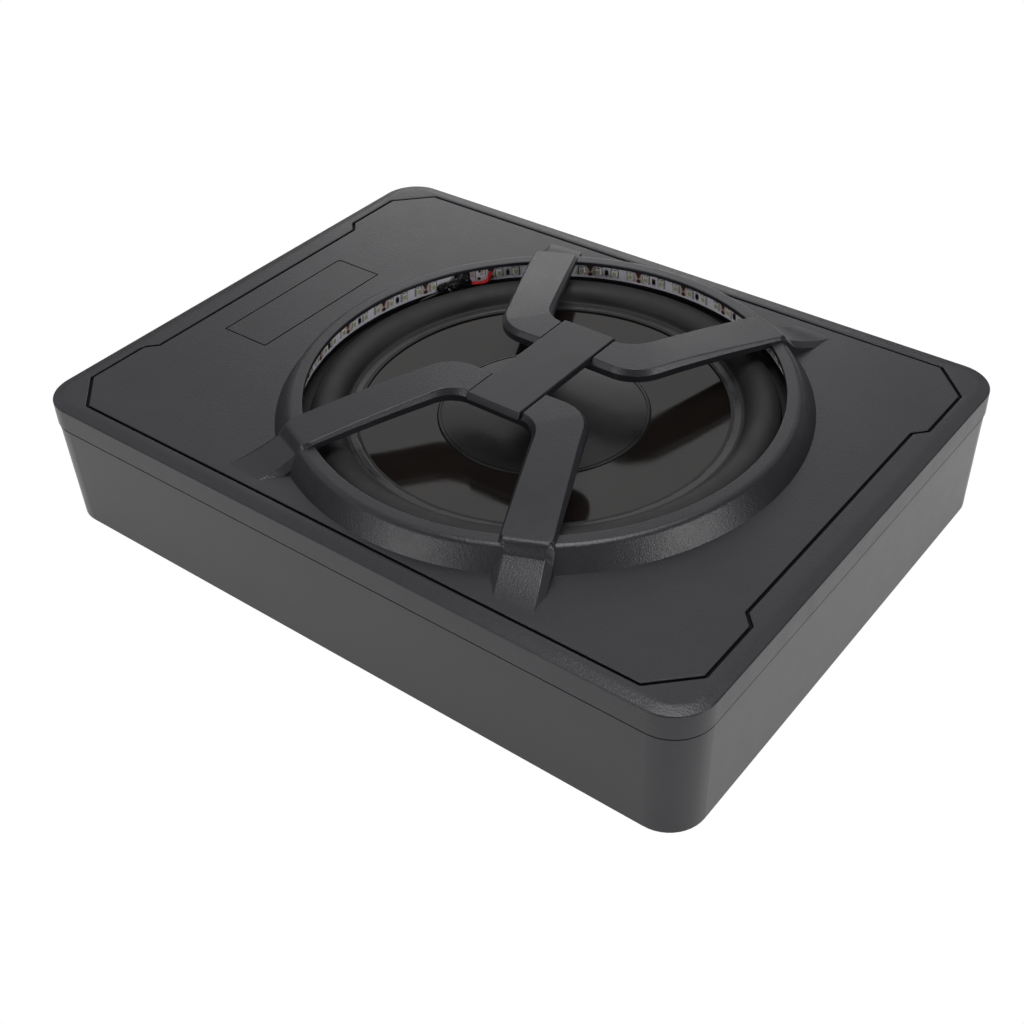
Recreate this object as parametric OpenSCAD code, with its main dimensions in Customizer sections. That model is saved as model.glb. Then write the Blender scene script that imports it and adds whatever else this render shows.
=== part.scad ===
// Powered car subwoofer: a flat under-seat cabinet with a woofer and its amplifier.
// Millimetres, +Z up. The origin is the centre of the footprint, at the bottom of the feet.

/* [Cabinet] */
// Length over the cover lip
body_l = 345; // [300:1:400]
// Width over the cover lip
body_w = 258; // [220:1:300]
// Height from the cabinet floor to the top panel
body_h = 64; // [55:1:80]
// Corner radius of the cover in plan
corner_r = 18; // [10:0.5:30]
// Height the rubber feet stand proud of the floor
foot_proud = 1; // [0.5:0.1:4]
// Radius of a rubber foot
foot_r = 9; // [6:0.5:14]
// Depth of the pocket a foot is glued in
foot_pocket = 1.2; // [0.5:0.1:2]
// Cabinet wall thickness
wall = 3.2; // [2:0.1:5]
// Cabinet floor thickness
floor_t = 3; // [2:0.1:5]
// How far the cover lip stands out past the cabinet wall
lip_over = 0.5; // [0.2:0.1:3]
// How far the cabinet wall leans in from its top to its foot
draft = 1.1; // [0:0.1:3]
// Thickness of the tongue that locates the cover
tongue_t = 2.2; // [1.5:0.1:4]
// Clearance between the tongue and the cover lip
tongue_gap = 0.2; // [0.1:0.05:0.6]
// Thickness of the foam seal on the tongue
seal_t = 2.5; // [1:0.1:4]

/* [Cover] */
// Thickness of the top panel
panel_t = 3; // [2:0.1:5]
// Height of the cover lip below the panel
lip_h = 12.9; // [8:0.1:20]
// Thickness of the cover lip
lip_t = 3.4; // [2:0.1:5]
// Width of the sloped band round the panel
rim_w = 5; // [2:0.5:10]
// Drop of the sloped band at the lip
rim_drop = 1; // [0.2:0.1:3]
// Width of the decorative groove
groove_w = 1.3; // [0.6:0.1:2.5]
// Depth of the decorative groove
groove_d = 1.2; // [0.5:0.1:2]
// Distance of the groove from the long edges
groove_side = 8.6; // [6:0.1:20]
// Distance of the groove from the short edges
groove_end = 14.2; // [9:0.1:25]
// Distance of the groove from the short edges near the corners
groove_corner = 9.1; // [6:0.1:15]
// Distance along the long edge from the corner to the groove's corner cut
groove_cut_l = 25.5; // [15:0.5:40]
// Distance along the short edge from the corner to the groove's corner cut
groove_cut_w = 25; // [15:0.5:40]
// Distance along the short edge from the corner to the groove's step
groove_step_w = 58.7; // [40:0.1:80]
// Length of the step along the side
groove_step_l = 5.4; // [2:0.1:12]
// Distance of the empty badge frame's centre from the short edge
badge_end = 42.7; // [30:0.1:60]
// Size of the empty badge frame along X
badge_l = 26.8; // [15:0.1:40]
// Size of the empty badge frame along Y
badge_w = 80; // [40:0.5:120]
// Depth of the badge frame line
badge_d = 0.5; // [0.2:0.1:1]

/* [Ring and grille] */
// Position of the woofer axis along X
woofer_x = 16; // [-20:0.5:30]
// Distance from the foot of the ring's slope to the long edges
ring_edge = 11; // [8:0.1:20]
// Width of the ring's outer slope
ring_slope_w = 6.6; // [3:0.1:12]
// Width of the ring's level lip
ring_lip_w = 6; // [3:0.1:12]
// Height of the ring above the panel
ring_h = 9.2; // [4:0.1:15]
// How far the ring's inner wall stands back under the lip
ring_under = 2.2; // [0.5:0.1:5]
// Height of the ring lip's inner face
lip_face = 2; // [1:0.1:2.2]
// How far the inner wall widens down to its lower end
collar_flare = 1.4; // [0:0.1:3]
// Depth of the ring's collar below the panel
collar_d = 7; // [4:0.1:15]
// Height of the level part of the arms above the panel
arm_h = 17.2; // [8:0.1:25]
// Height of the arms where they cross the ring
arm_crest_h = 11; // [6:0.1:18]
// How far inside the ring's crest the arms start to drop
arm_crest_in = 2; // [0:0.1:5]
// How far the arms bow up between the middle and the ring
arm_bow = 0.8; // [0:0.1:3]
// Distance along the arm where it starts to fall
arm_fall_s = 38; // [20:0.5:70]
// Near edge of the level part, from the X axis
arm_near_y = 15.3; // [8:0.1:30]
// Far edge of the level part, from the X axis
arm_far_y = 35; // [25:0.1:55]
// Angle of the slanted part from the Y axis
arm_angle = 24.6; // [10:0.1:45]
// Distance of the slanted part's outer edge from the woofer axis
arm_outer_t = 27.4; // [15:0.1:40]
// Distance of the slanted part's inner edge from the woofer axis
arm_inner_t = 5.6; // [0:0.1:20]
// Radius of the arm's outer bend
bend_outer_r = 19; // [5:0.5:30]
// Radius of the arm's inner bend
bend_inner_r = 14; // [5:0.5:30]
// Thickness of the arm at the middle
arm_t = 5.7; // [4:0.1:10]
// Thickness of the arm at the ring
arm_end_t = 3.9; // [3:0.1:8]
// Width of the bevel along the arm
bevel_w = 1.9; // [0.5:0.1:4]
// Height of the bevel at the middle
bevel_h = 2.5; // [0.5:0.1:5]
// Height of the bevel at the ring
bevel_end_h = 1.3; // [0.3:0.1:4]
// Radius of the hollow curve of the arm's foot
foot_curve_r = 48; // [20:0.5:90]
// Length of the arm's foot
foot_len = 30.5; // [15:0.5:50]
// Gap between the end of the arm's foot and the middle of the groove
foot_end_gap = 1.8; // [0.8:0.1:5]

/* [Centre plate] */
// Size of the centre plate's face along X
plate_l = 26.2; // [18:0.1:40]
// Size of the centre plate's face along Y
plate_w = 69.2; // [50:0.1:90]
// Height of the centre plate's face above the panel
plate_h = 17.7; // [9:0.1:26]
// Thickness of the centre plate
plate_t = 3.2; // [1.5:0.1:5]
// Width of the edge bevel along the long sides
plate_bevel = 0.6; // [0.2:0.1:2]
// How far the end bevel runs out
plate_end_bevel = 1.4; // [0.4:0.1:3]
// Gap between the plate and the arms
plate_gap = 0.5; // [0.2:0.05:1]
// Radius of the plate's two pegs
peg_r = 2.5; // [1.5:0.1:4]
// Distance of a peg from the plate's middle
peg_y = 25; // [18:0.5:32]

/* [Light strip] */
// Width of the light strip
strip_w = 8; // [5:0.5:12]
// Thickness of the light strip
strip_t = 0.35; // [0.2:0.05:1]
// Lower edge of the strip from the panel
strip_z = -1; // [-5:0.1:2]
// Angle of the middle of the gap in the strip
strip_gap_at = 148.4; // [0:0.1:360]
// Angle the gap takes up
strip_gap = 4.4; // [2:0.1:20]
// Angle of the solder pads the lights are counted from
led_from = 140.5; // [0:0.1:360]
// Number of lights on the strip
led_count = 79; // [30:1:120]
// Angle from one light to the next
led_step = 4.38; // [3:0.01:12]
// Length of a light
led_l = 2.8; // [2:0.1:6]
// Height of a light
led_w = 3.5; // [2:0.1:6]
// Thickness of a light
led_t = 0.8; // [0.5:0.1:2.5]
// Distance of a solder pad from the middle of the strip
pad_up = 1.95; // [1.2:0.05:3]

/* [Woofer] */
// Radius of the dust cap
cap_r = 46.8; // [25:0.1:60]
// Height of the dust cap's rim below the panel
cap_drop = 6.9; // [2:0.1:20]
// Height of the dust cap's dome
cap_h = 4.5; // [1:0.1:15]
// Outer radius of the cone
cone_r = 86.5; // [70:0.1:95]
// Depth of the cone's rim below the panel
cone_drop = 4.9; // [1:0.1:15]
// Thickness of the cone
cone_t = 1; // [0.5:0.1:2]
// Gap between the cone's edge and the foot of the surround's roll
roll_in = 1.4; // [0.5:0.1:5]
// Gap between the ring's lip and the outer foot of the surround's roll
roll_out = 2.1; // [0.5:0.1:8]
// Height of the surround's roll
roll_h = 7.7; // [3:0.1:12]
// Thickness of the surround
roll_t = 0.8; // [0.4:0.1:2]
// How far the frame's flange stays inside the ring's slope
frame_in = 1.8; // [0.5:0.1:6]
// Thickness of the frame's sheet
frame_t = 1.5; // [0.8:0.1:3]
// Distance of the frame screws from the flange's edge
frame_screw_in = 3.7; // [3:0.1:6]
// Width of the frame's seat for the surround
frame_seat = 6.1; // [4:0.1:10]
// Height of the gasket ring on the surround's outer edge
gasket_h = 3.7; // [0.7:0.1:4.5]
// Outer radius of the spider
spider_r = 62; // [50:0.5:75]
// Height of the spider's foot above the ground
spider_z = 44.6; // [43:0.1:46]
// Height of the basket's floor above the ground
motor_z = 32.5; // [31:0.1:34]
// Number of frame screws
frame_screws = 8; // [4:1:12]
// Outer radius of the coil former
former_r = 25.4; // [15:0.1:40]
// Thickness of the coil former
former_t = 0.4; // [0.2:0.05:1]
// Thickness of the coil winding
coil_t = 0.8; // [0.4:0.05:2]
// Radius of the magnet
magnet_r = 55; // [40:0.5:70]
// Height of the magnet
magnet_h = 16; // [8:0.5:25]
// Thickness of the front and back plates
iron_t = 6; // [4:0.5:10]
// Half of the cone's travel
travel = 4; // [2:0.5:8]

/* [Amplifier] */
// Length of the circuit board
board_l = 84; // [80:1:100]
// Distance of the board's long edges from its screws
board_edge = 14; // [5:1:20]
// Distance of the board's short edges from its screws
board_end = 8; // [5:1:14]
// Thickness of the circuit board
board_t = 1.6; // [1:0.1:3]
// Height of the circuit board above the ground
board_z = 15; // [13:0.5:17]
// Length of the heatsink
sink_l = 56; // [54:1:64]
// Height of the heatsink
sink_h = 24; // [15:0.5:26]
// Distance from one heatsink fin to the next
sink_step = 10.4; // [6:0.1:12]
// Radius of the wound toroid
toroid_r = 17; // [14:0.5:20]
// Radius of the hole in the wound toroid
toroid_hole_r = 6.5; // [4:0.5:8]
// Height of the wound toroid
toroid_h = 15; // [10:0.5:20]
// Thickness of the winding on the toroid's core
winding_t = 2; // [1:0.1:3]
// Radius of a capacitor
capacitor_r = 7.5; // [4:0.1:8]
// Height of a capacitor
capacitor_h = 22; // [12:0.5:26]

/* [Panel and controls] */
// Width of the recess for the control panel
pocket_w = 204; // [150:1:230]
// Height of the recess for the control panel
pocket_h = 38; // [25:0.5:44]
// Height of the recess's lower edge
pocket_z = 8; // [5:0.5:20]
// Depth of the recess from the cabinet wall
pocket_d = 13.5; // [8:0.5:20]
// Thickness of the control panel
control_t = 2; // [1:0.1:4]
// Height of the row of controls
control_z = 27; // [15:0.5:40]
// Radius of a knob
knob_r = 6; // [4:0.1:9]
// Length of a knob
knob_l = 8.5; // [5:0.1:10]
// Radius of a phono socket's shell
phono_r = 4.15; // [4:0.05:4.3]
// Free length of a phono socket's shell
phono_l = 8; // [6:0.1:9]
// Thickness of the flange at a phono socket's foot
phono_flange = 1; // [0.5:0.1:2]
// Travel of the phase switch
switch_travel = 4; // [2:0.1:5]
// Length of the switch's slider
slider_l = 4.2; // [3:0.1:5]

/* [Bracket holes] */
// Distance of the bracket holes from the short edges
bracket_end = 27.5; // [20:0.5:60]
// Distance of the bracket holes from the long edges
bracket_side = 41; // [25:0.5:60]
// Radius of the hole in a bracket bushing
bracket_hole_r = 2.1; // [1.5:0.1:4]
// Radius of a bracket bushing
bushing_r = 4; // [3:0.1:6]
// Length of a bracket bushing
bushing_l = 9; // [5:0.5:15]

/* [Hidden] */
$fn = 96;
top = foot_proud + body_h;
case_top = top - lip_h;
case_l = body_l - 2 * lip_over;
case_w = body_w - 2 * lip_over;
case_r = corner_r - lip_over;
ring_base_r = body_w / 2 - ring_edge;
ring_crest_r = ring_base_r - ring_slope_w;
ring_in_r = ring_crest_r - ring_lip_w;
ring_wall_r = ring_in_r + ring_under;
collar_r = ring_wall_r + collar_flare;
arm_crest_s = ring_crest_r - arm_crest_in;
groove_y = body_w / 2 - groove_side;
groove_x = body_l / 2 - groove_end;
groove_corner_x = body_l / 2 - groove_corner;
groove_cut_x = body_l / 2 - groove_cut_l;
groove_cut_y = body_w / 2 - groove_cut_w;
groove_step_y = body_w / 2 - groove_step_w;
foot_end_y = groove_y - foot_end_gap;
badge_x = badge_end - body_l / 2;
tongue_in = lip_t + tongue_gap + tongue_t;
tongue_top = top - panel_t - seal_t;
wall_x = case_l / 2;
pocket_back = wall_x - pocket_d;
face_x = pocket_back + control_t;
floor_top = foot_proud + floor_t;
cone_z = top - cone_drop;
cap_z = top - cap_drop;
flange_z = top - collar_d - 1.5;
gasket_r = collar_r - 0.5;
gasket_top = flange_z + roll_t + gasket_h;
seat_r = gasket_r - frame_seat;
frame_r = ring_base_r - frame_in;
frame_screw_circle = frame_r - frame_screw_in;
roll_foot_r = cone_r + roll_in;
roll_edge_r = ring_in_r - roll_out;
roll_mid_r = (roll_foot_r + roll_edge_r) / 2;
roll_r = (roll_edge_r - roll_foot_r) / 2;
screw_r = 1.6;
head_r = 3.4;
post_r = 6;
post_top = 50;
head_z = 41;
bracket_l = body_l - 2 * bracket_end;
bracket_w = body_w - 2 * bracket_side;
post_x = body_l / 2 - 17.5;
post_y = body_w / 2 - 19;
post_xy = [[post_x, post_y], [post_x, -post_y], [9 - post_x, post_y], [9 - post_x, -post_y],
           [post_x - 5, 38], [post_x - 5, -38], [43 - post_x, post_y + 2],
           [43 - post_x, -post_y - 2]];
board_x = -face_x + control_t + 6.8;
board_top = board_z + board_t;
board_hole_w = bracket_w / 2 - bushing_r - 8;
board_w = 2 * (board_hole_w + board_edge);
sink_x = board_x + board_l - 39;
sink_y = 12 - board_w / 2;
toroid_xy = [board_x + board_l - 33, board_w / 2 - 38];
magnet_z = motor_z - iron_t - magnet_h;
coil_z = motor_z - 7;
coil_l = iron_t + 7;
slider_gap = 0.3;
slider_slot = slider_l + switch_travel + 2 * slider_gap;
tag_end = 7.6;
tag_y = 5.5;
foot_xy = [body_l / 2 - 40.5, body_w / 2 - 17];
board_xy = [for (x = [board_end, board_l - board_end], y = [-1, 1]) [board_x + x, y * board_hole_w]];

// ---------------------------------------------------------------- helpers

// A block with round corners in plan, centred on the Z axis
module rbox(l, w, h, r) {
  translate([-l / 2 + r, -w / 2, 0]) cube([l - 2 * r, w, h]);
  translate([-l / 2, -w / 2 + r, 0]) cube([l, w - 2 * r, h]);
  for (x = [-1, 1], y = [-1, 1])
    translate([x * (l / 2 - r), y * (w / 2 - r), 0]) cylinder(h = h, r = r);
}

// Sweeps a profile round a rectangle with round corners; X is outwards from the corner's centre
module sweep(l, w, r) {
  cx = l / 2 - r;
  cy = w / 2 - r;
  for (k = [0 : 3])
    translate([(k == 0 || k == 3 ? 1 : -1) * cx, (k < 2 ? 1 : -1) * cy, 0])
      rotate([0, 0, 90 * k]) rotate_extrude(angle = 90) children();
  for (a = [0, 180]) rotate([0, 0, a]) {
    translate([-cx, cy, 0]) rotate([90, 0, 90]) linear_extrude(2 * cx) children();
    translate([cx, cy, 0]) rotate([90, 0, 0]) linear_extrude(2 * cy) children();
  }
}

// A tube between two radii
module tube(ro, ri, h) {
  difference() {
    cylinder(h = h, r = ro);
    translate([0, 0, -1]) cylinder(h = h + 2, r = ri);
  }
}

// Rings of a wire through the given points: each ring stands square to the path there
function unit(v) = v / norm(v);
function heading(p, i) =
  unit((i < len(p) - 1 ? unit(p[i + 1] - p[i]) : [0, 0, 0])
       + (i > 0 ? unit(p[i] - p[i - 1]) : [0, 0, 0]));
function wire_ring(p, i, r, n) =
  let (d = heading(p, i), u = unit(cross(d, [0.21, 0.35, 0.91])), v = cross(d, u))
  [for (k = [0 : n - 1]) p[i] + r * (cos(360 * k / n) * u + sin(360 * k / n) * v)];

// A round wire through the given points
module wire(p, r) {
  n = 12;
  m = len(p);
  pts = [for (i = [0 : m - 1]) each wire_ring(p, i, r, n)];
  sides = [for (i = [0 : m - 2], k = [0 : n - 1])
    let (a = n * i + k, b = n * i + (k + 1) % n) each [[a, b, b + n], [a, b + n, a + n]]];
  caps = [for (k = [1 : n - 2]) each [[0, k + 1, k], [n * m - n, n * m - n + k, n * m - n + k + 1]]];
  polyhedron(points = pts, faces = concat(sides, caps));
}

// A shape that faces out of the control panel: its Z runs out of the cabinet
module on_panel(y, z, x = -face_x) {
  translate([x, y, z]) rotate([0, -90, 0]) children();
}

// The same shape in all four quadrants
module quarters() {
  for (x = [0, 1], y = [0, 1]) mirror([x, 0, 0]) mirror([0, y, 0]) children();
}

// A straight cutter of the groove's section between two points
module groove_line(a, b, w, d) {
  v = b - a;
  translate([a[0], a[1], top - d]) rotate([0, 0, atan2(v[1], v[0])])
    translate([-w / 2, -w / 2, 0]) cube([norm(v) + w, w, d + 1]);
}

// ---------------------------------------------------------------- cabinet

module case() {
  color("#141416")
  difference() {
    union() {
      // leaning walls
      sweep(case_l, case_w, case_r)
        polygon([[case_r - draft, foot_proud], [case_r, case_top], [case_r - wall, case_top],
                 [case_r - wall - draft, foot_proud]]);
      translate([0, 0, foot_proud])
        rbox(case_l - 2 * draft - wall, case_w - 2 * draft - wall, floor_t,
             case_r - draft - wall / 2);
      // tongue inside the cover lip
      difference() {
        translate([0, 0, case_top - 9])
          rbox(body_l - 2 * (lip_t + tongue_gap), body_w - 2 * (lip_t + tongue_gap),
               tongue_top - case_top + 9, corner_r - lip_t - tongue_gap);
        translate([0, 0, case_top - 10])
          rbox(body_l - 2 * tongue_in, body_w - 2 * tongue_in, body_h, corner_r - tongue_in);
      }
      // walls of the recess for the control panel
      translate([-wall_x + 1, -pocket_w / 2 - 2.5, floor_top - 1])
        cube([pocket_d + 1.5, pocket_w + 5, pocket_z + pocket_h + 2.5 - floor_top + 1]);
      // posts for the cover screws
      for (p = post_xy) translate([p[0], p[1], floor_top - 1])
        cylinder(h = post_top - floor_top + 1, r = post_r);
      // posts for the amplifier board
      for (p = board_xy) translate([p[0], p[1], floor_top - 1])
        cylinder(h = board_z - floor_top + 1, r = 4);
      // bosses round the bracket bushings
      quarters() translate([bracket_l / 2, bracket_w / 2, floor_top - 1])
        cylinder(h = bushing_l + 1, r = bushing_r + 2.2);
      // seats for the feet
      quarters() translate([foot_xy[0], foot_xy[1], foot_proud])
        cylinder(h = floor_t + 1, r = foot_r + 2);
    }
    // recess for the control panel, open to the outside
    translate([-wall_x - 1, -pocket_w / 2, pocket_z]) cube([pocket_d + 1, pocket_w, pocket_h]);
    translate([-pocket_back - 1, -pocket_w / 2 + 5, pocket_z + 4])
      cube([wall + 3, pocket_w - 10, pocket_h - 8]);
    for (p = post_xy) translate([p[0], p[1], 0]) {
      cylinder(h = head_z, r = head_r + 0.6);
      cylinder(h = body_h, r = screw_r + 0.3);
    }
    for (p = board_xy) translate([p[0], p[1], board_z - 8]) cylinder(h = 9, r = 1.2);
    quarters() translate([bracket_l / 2, bracket_w / 2, 0])
      cylinder(h = foot_proud + bushing_l, r = bushing_r);
    quarters() translate([foot_xy[0], foot_xy[1], 0])
      cylinder(h = foot_proud + foot_pocket, r = foot_r);
    for (y = [-1, 1], z = [-1, 1])
      on_panel(y * (pocket_w / 2 - 3), pocket_z + pocket_h / 2 + z * (pocket_h / 2 - 2.4),
               -pocket_back + 6)
        cylinder(h = 12, r = 0.9);
  }
}

module seal_gasket() {
  color("#222224")
  translate([0, 0, tongue_top]) difference() {
    rbox(body_l - 2 * (lip_t + tongue_gap), body_w - 2 * (lip_t + tongue_gap), seal_t,
         corner_r - lip_t - tongue_gap);
    translate([0, 0, -1])
      rbox(body_l - 2 * tongue_in, body_w - 2 * tongue_in, seal_t + 2, corner_r - tongue_in);
  }
}

module rubber_feet() {
  color("#0c0c0c")
  quarters() translate([foot_xy[0], foot_xy[1], 0])
    cylinder(h = foot_proud + foot_pocket, r = foot_r);
}

module cover_screws() {
  color("#8a8a8c")
  for (p = post_xy) translate([p[0], p[1], 0]) difference() {
    union() {
      translate([0, 0, head_z - 2.6]) cylinder(h = 2.6, r = head_r);
      translate([0, 0, head_z]) cylinder(h = 18, r = screw_r);
    }
    for (a = [0, 90]) rotate([0, 0, a])
      translate([-2, -0.5, head_z - 3]) cube([4, 1, 1.8]);
  }
}

module bracket_bushings() {
  color("#b08d4a")
  quarters() translate([bracket_l / 2, bracket_w / 2, foot_proud])
    tube(bushing_r, bracket_hole_r, bushing_l);
}

// ---------------------------------------------------------------- cover

module cover_shell() {
  difference() {
    translate([0, 0, top - panel_t])
      rbox(body_l - 20, body_w - 20, panel_t, corner_r - 10);
    translate([woofer_x, 0, 0]) cylinder(h = 2 * top, r = ring_base_r - 4, $fn = 180);
  }
  sweep(body_l, body_w, corner_r)
    polygon([[corner_r - 12, top - panel_t], [corner_r - 12, top], [corner_r - rim_w, top],
             [corner_r, top - rim_drop], [corner_r, case_top], [corner_r - lip_t, case_top],
             [corner_r - lip_t, top - panel_t]]);
  for (p = post_xy) translate([p[0], p[1], post_top])
    cylinder(h = top - panel_t - post_top + 1, r = 5);
}

module ring_wall() {
  translate([woofer_x, 0, top]) {
    rotate_extrude($fn = 180)
      polygon([[collar_r, -collar_d], [ring_wall_r, ring_h - lip_face],
               [ring_in_r, ring_h - lip_face], [ring_in_r, ring_h - 0.2],
               [ring_in_r + 0.2, ring_h], [ring_crest_r - 1.8, ring_h],
               [ring_crest_r - 0.8, ring_h - 0.25], [ring_crest_r, ring_h - 0.9],
               [ring_base_r, 0], [ring_base_r, -panel_t], [collar_r + 3.2, -panel_t],
               [collar_r + 3.2, -collar_d]]);
    for (i = [0 : frame_screws - 1]) rotate([0, 0, (i + 0.5) * 360 / frame_screws])
      translate([frame_screw_circle, 0, -collar_d - 1.5]) cylinder(h = collar_d, r = 3.6);
  }
}

// A point on the slanted part: t across from the woofer axis, s along the arm
function slant(t, s) = [t * cos(arm_angle) + s * sin(arm_angle),
                        s * cos(arm_angle) - t * sin(arm_angle)];
// Where a slanted edge would cross the level part's edge
function corner_x(t, y) = (t + y * sin(arm_angle)) / cos(arm_angle);
bend_turn = 90 - arm_angle;
// A point of a bend: y is the level edge, t the slanted edge, r the radius, f from 0 to 1
function bend(y, t, r, f) =
  [corner_x(t, y) - r * tan(bend_turn / 2) + r * sin(bend_turn * f),
   y + r - r * cos(bend_turn * f)];
function along(p) = p[0] * sin(arm_angle) + p[1] * cos(arm_angle);
function fall(s) = max(0, s - arm_fall_s) / (arm_crest_s - arm_fall_s);
function fall_h(s) = arm_h - (arm_h - arm_crest_h) * fall(s) + 4 * arm_bow * fall(s) * (1 - fall(s));
function foot_h(s) = s > arm_crest_s + foot_len ? -0.4
  : foot_curve_r - sqrt(pow(foot_curve_r, 2) - pow(arm_crest_s + foot_len - s, 2)) - 0.1;
function under(s) = arm_t + (arm_end_t - arm_t) * fall(s);
bends = 7;
feet_n = 9;
seat_x = plate_l / 2 + plate_bevel + plate_gap;
seat_h = plate_h - plate_t;
end_a = [corner_x(arm_outer_t, foot_end_y), foot_end_y];
end_b = [corner_x(arm_inner_t, foot_end_y), foot_end_y];
// Stations along one arm: near edge, far edge, top, bottom
arm_half = concat(
  [[[seat_x - 0.05, arm_near_y], [seat_x - 0.05, arm_far_y], seat_h, arm_h - arm_t],
   [[seat_x, arm_near_y], [seat_x, arm_far_y], arm_h, arm_h - arm_t]],
  [for (i = [0 : bends])
    let (a = bend(arm_near_y, arm_outer_t, bend_outer_r, i / bends),
         b = bend(arm_far_y, arm_inner_t, bend_inner_r, i / bends),
         c = i == 0 ? [max(b[0], seat_x + 0.4), b[1]] : b,
         s = along((a + c) / 2))
    [a, c, fall_h(s), fall_h(s) - under(s)]],
  [for (f = [0.25, 0.5, 0.75])
    let (s0 = along((bend(arm_near_y, arm_outer_t, bend_outer_r, 1)
                     + bend(arm_far_y, arm_inner_t, bend_inner_r, 1)) / 2),
         s = s0 + (arm_crest_s - s0) * f)
    [slant(arm_outer_t, s), slant(arm_inner_t, s), fall_h(s), fall_h(s) - under(s)]],
  [for (s = [arm_crest_s - 0.05, arm_crest_s])
    [slant(arm_outer_t, s), slant(arm_inner_t, s + 0.3), arm_crest_h,
     s < arm_crest_s ? arm_crest_h - arm_end_t : -panel_t + 0.5]],
  [for (i = [1 : feet_n])
    let (a = slant(arm_outer_t, arm_crest_s) * (1 - i / feet_n) + end_a * i / feet_n,
         b = slant(arm_inner_t, arm_crest_s + 0.3) * (1 - i / feet_n) + end_b * i / feet_n,
         s = (along(a) + along(b)) / 2)
    [a, b, i == feet_n ? -0.4 : foot_h(s), -panel_t + 0.5]]);
function flip(v) = [[-v[0][0], v[0][1]], [-v[1][0], v[1][1]], v[2], v[3]];
arm_pair = concat([for (i = [len(arm_half) - 1 : -1 : 0]) flip(arm_half[i])], arm_half);
function bevel_at(h) = h > arm_crest_h
  ? bevel_end_h + (bevel_h - bevel_end_h) * min(1, (h - arm_crest_h) / (arm_h - arm_crest_h))
  : bevel_end_h;
// Six points of the arm's section at a station
function section(v) =
  let (a = v[0], b = v[1], h = v[2], z = v[3],
       u = (b - a) / norm(b - a),
       k = min(1, max(0.02, (h + 0.4) / 6)),
       w = bevel_w * k, e = bevel_at(h) * k)
  [[a[0], a[1], z], [a[0], a[1], h - e], [a[0] + u[0] * w, a[1] + u[1] * w, h],
   [b[0] - u[0] * w, b[1] - u[1] * w, h], [b[0], b[1], h - e], [b[0], b[1], z]];

// Two arms joined under the centre plate, as one bar
module arm_bar() {
  n = len(arm_pair);
  pts = [for (v = arm_pair) each section(v)];
  sides = [for (i = [0 : n - 2], k = [0 : 5])
    let (p = 6 * i + k, q = 6 * i + (k + 1) % 6)
    each [[p, q, q + 6], [p, q + 6, p + 6]]];
  caps = [for (k = [1 : 4]) each [[0, k + 1, k], [6 * n - 6, 6 * n - 6 + k, 6 * n - 5 + k]]];
  translate([woofer_x, 0, top]) polyhedron(points = pts, faces = concat(sides, caps));
}

module cover_cuts() {
  w = groove_w;
  a = [groove_x, groove_step_y - groove_step_l / 2];
  b = [groove_corner_x, groove_step_y + groove_step_l / 2];
  quarters() {
    groove_line([0, groove_y], [groove_cut_x, groove_y], w, groove_d);
    groove_line([groove_cut_x, groove_y], [groove_corner_x, groove_cut_y], w, groove_d);
    groove_line([groove_corner_x, groove_cut_y], b, w, groove_d);
    groove_line(b, a, w, groove_d);
    groove_line(a, [groove_x, 0], w, groove_d);
  }
  difference() {
    translate([badge_x - badge_l / 2, -badge_w / 2, top - badge_d])
      cube([badge_l, badge_w, badge_d + 1]);
    translate([badge_x - badge_l / 2 + 0.7, -badge_w / 2 + 0.7, top - 2])
      cube([badge_l - 1.4, badge_w - 1.4, 4]);
  }
  for (p = post_xy) translate([p[0], p[1], post_top - 1])
    cylinder(h = 11, r = screw_r);
  translate([woofer_x, 0, top])
    for (i = [0 : frame_screws - 1]) rotate([0, 0, (i + 0.5) * 360 / frame_screws])
      translate([frame_screw_circle, 0, -collar_d - 3]) cylinder(h = collar_d + 2, r = 1.4);
  for (y = [-1, 1]) translate([woofer_x, y * peg_y, top])
    cylinder(h = seat_h + 1, r = peg_r);
}

module top_cover() {
  color("#18181a")
  difference() {
    union() {
      cover_shell();
      ring_wall();
      arm_bar();
      mirror([0, 1, 0]) arm_bar();
    }
    cover_cuts();
  }
}

module centre_plate() {
  b = plate_bevel;
  e = plate_end_bevel;
  color("#1b1b1d")
  translate([woofer_x, 0, top + seat_h]) {
    intersection() {
      translate([0, plate_w, 0]) rotate([90, 0, 0]) linear_extrude(2 * plate_w)
        polygon([[-plate_l / 2 - b, 0], [plate_l / 2 + b, 0], [plate_l / 2 + b, plate_t - b],
                 [plate_l / 2, plate_t], [-plate_l / 2, plate_t],
                 [-plate_l / 2 - b, plate_t - b]]);
      translate([-plate_w, 0, 0]) rotate([90, 0, 90]) linear_extrude(2 * plate_w)
        polygon([[-plate_w / 2 - e, 0], [plate_w / 2 + e, 0], [plate_w / 2 + e, 0.4],
                 [plate_w / 2, plate_t], [-plate_w / 2, plate_t], [-plate_w / 2 - e, 0.4]]);
    }
    for (y = [-1, 1]) translate([0, y * peg_y, -5]) cylinder(h = 5.5, r = peg_r);
  }
}

// ---------------------------------------------------------------- light strip

// Radius of the ring's inner wall at a height from the panel
function wall_at(z) = collar_r
  + (ring_wall_r - collar_r) * (z + collar_d) / (ring_h - lip_face + collar_d);
wall_tilt = atan((collar_r - ring_wall_r) / (ring_h - lip_face + collar_d));
strip_mid = strip_z + strip_w / 2;
glue = 0.08;
strip_span = 360 - strip_gap;

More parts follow.
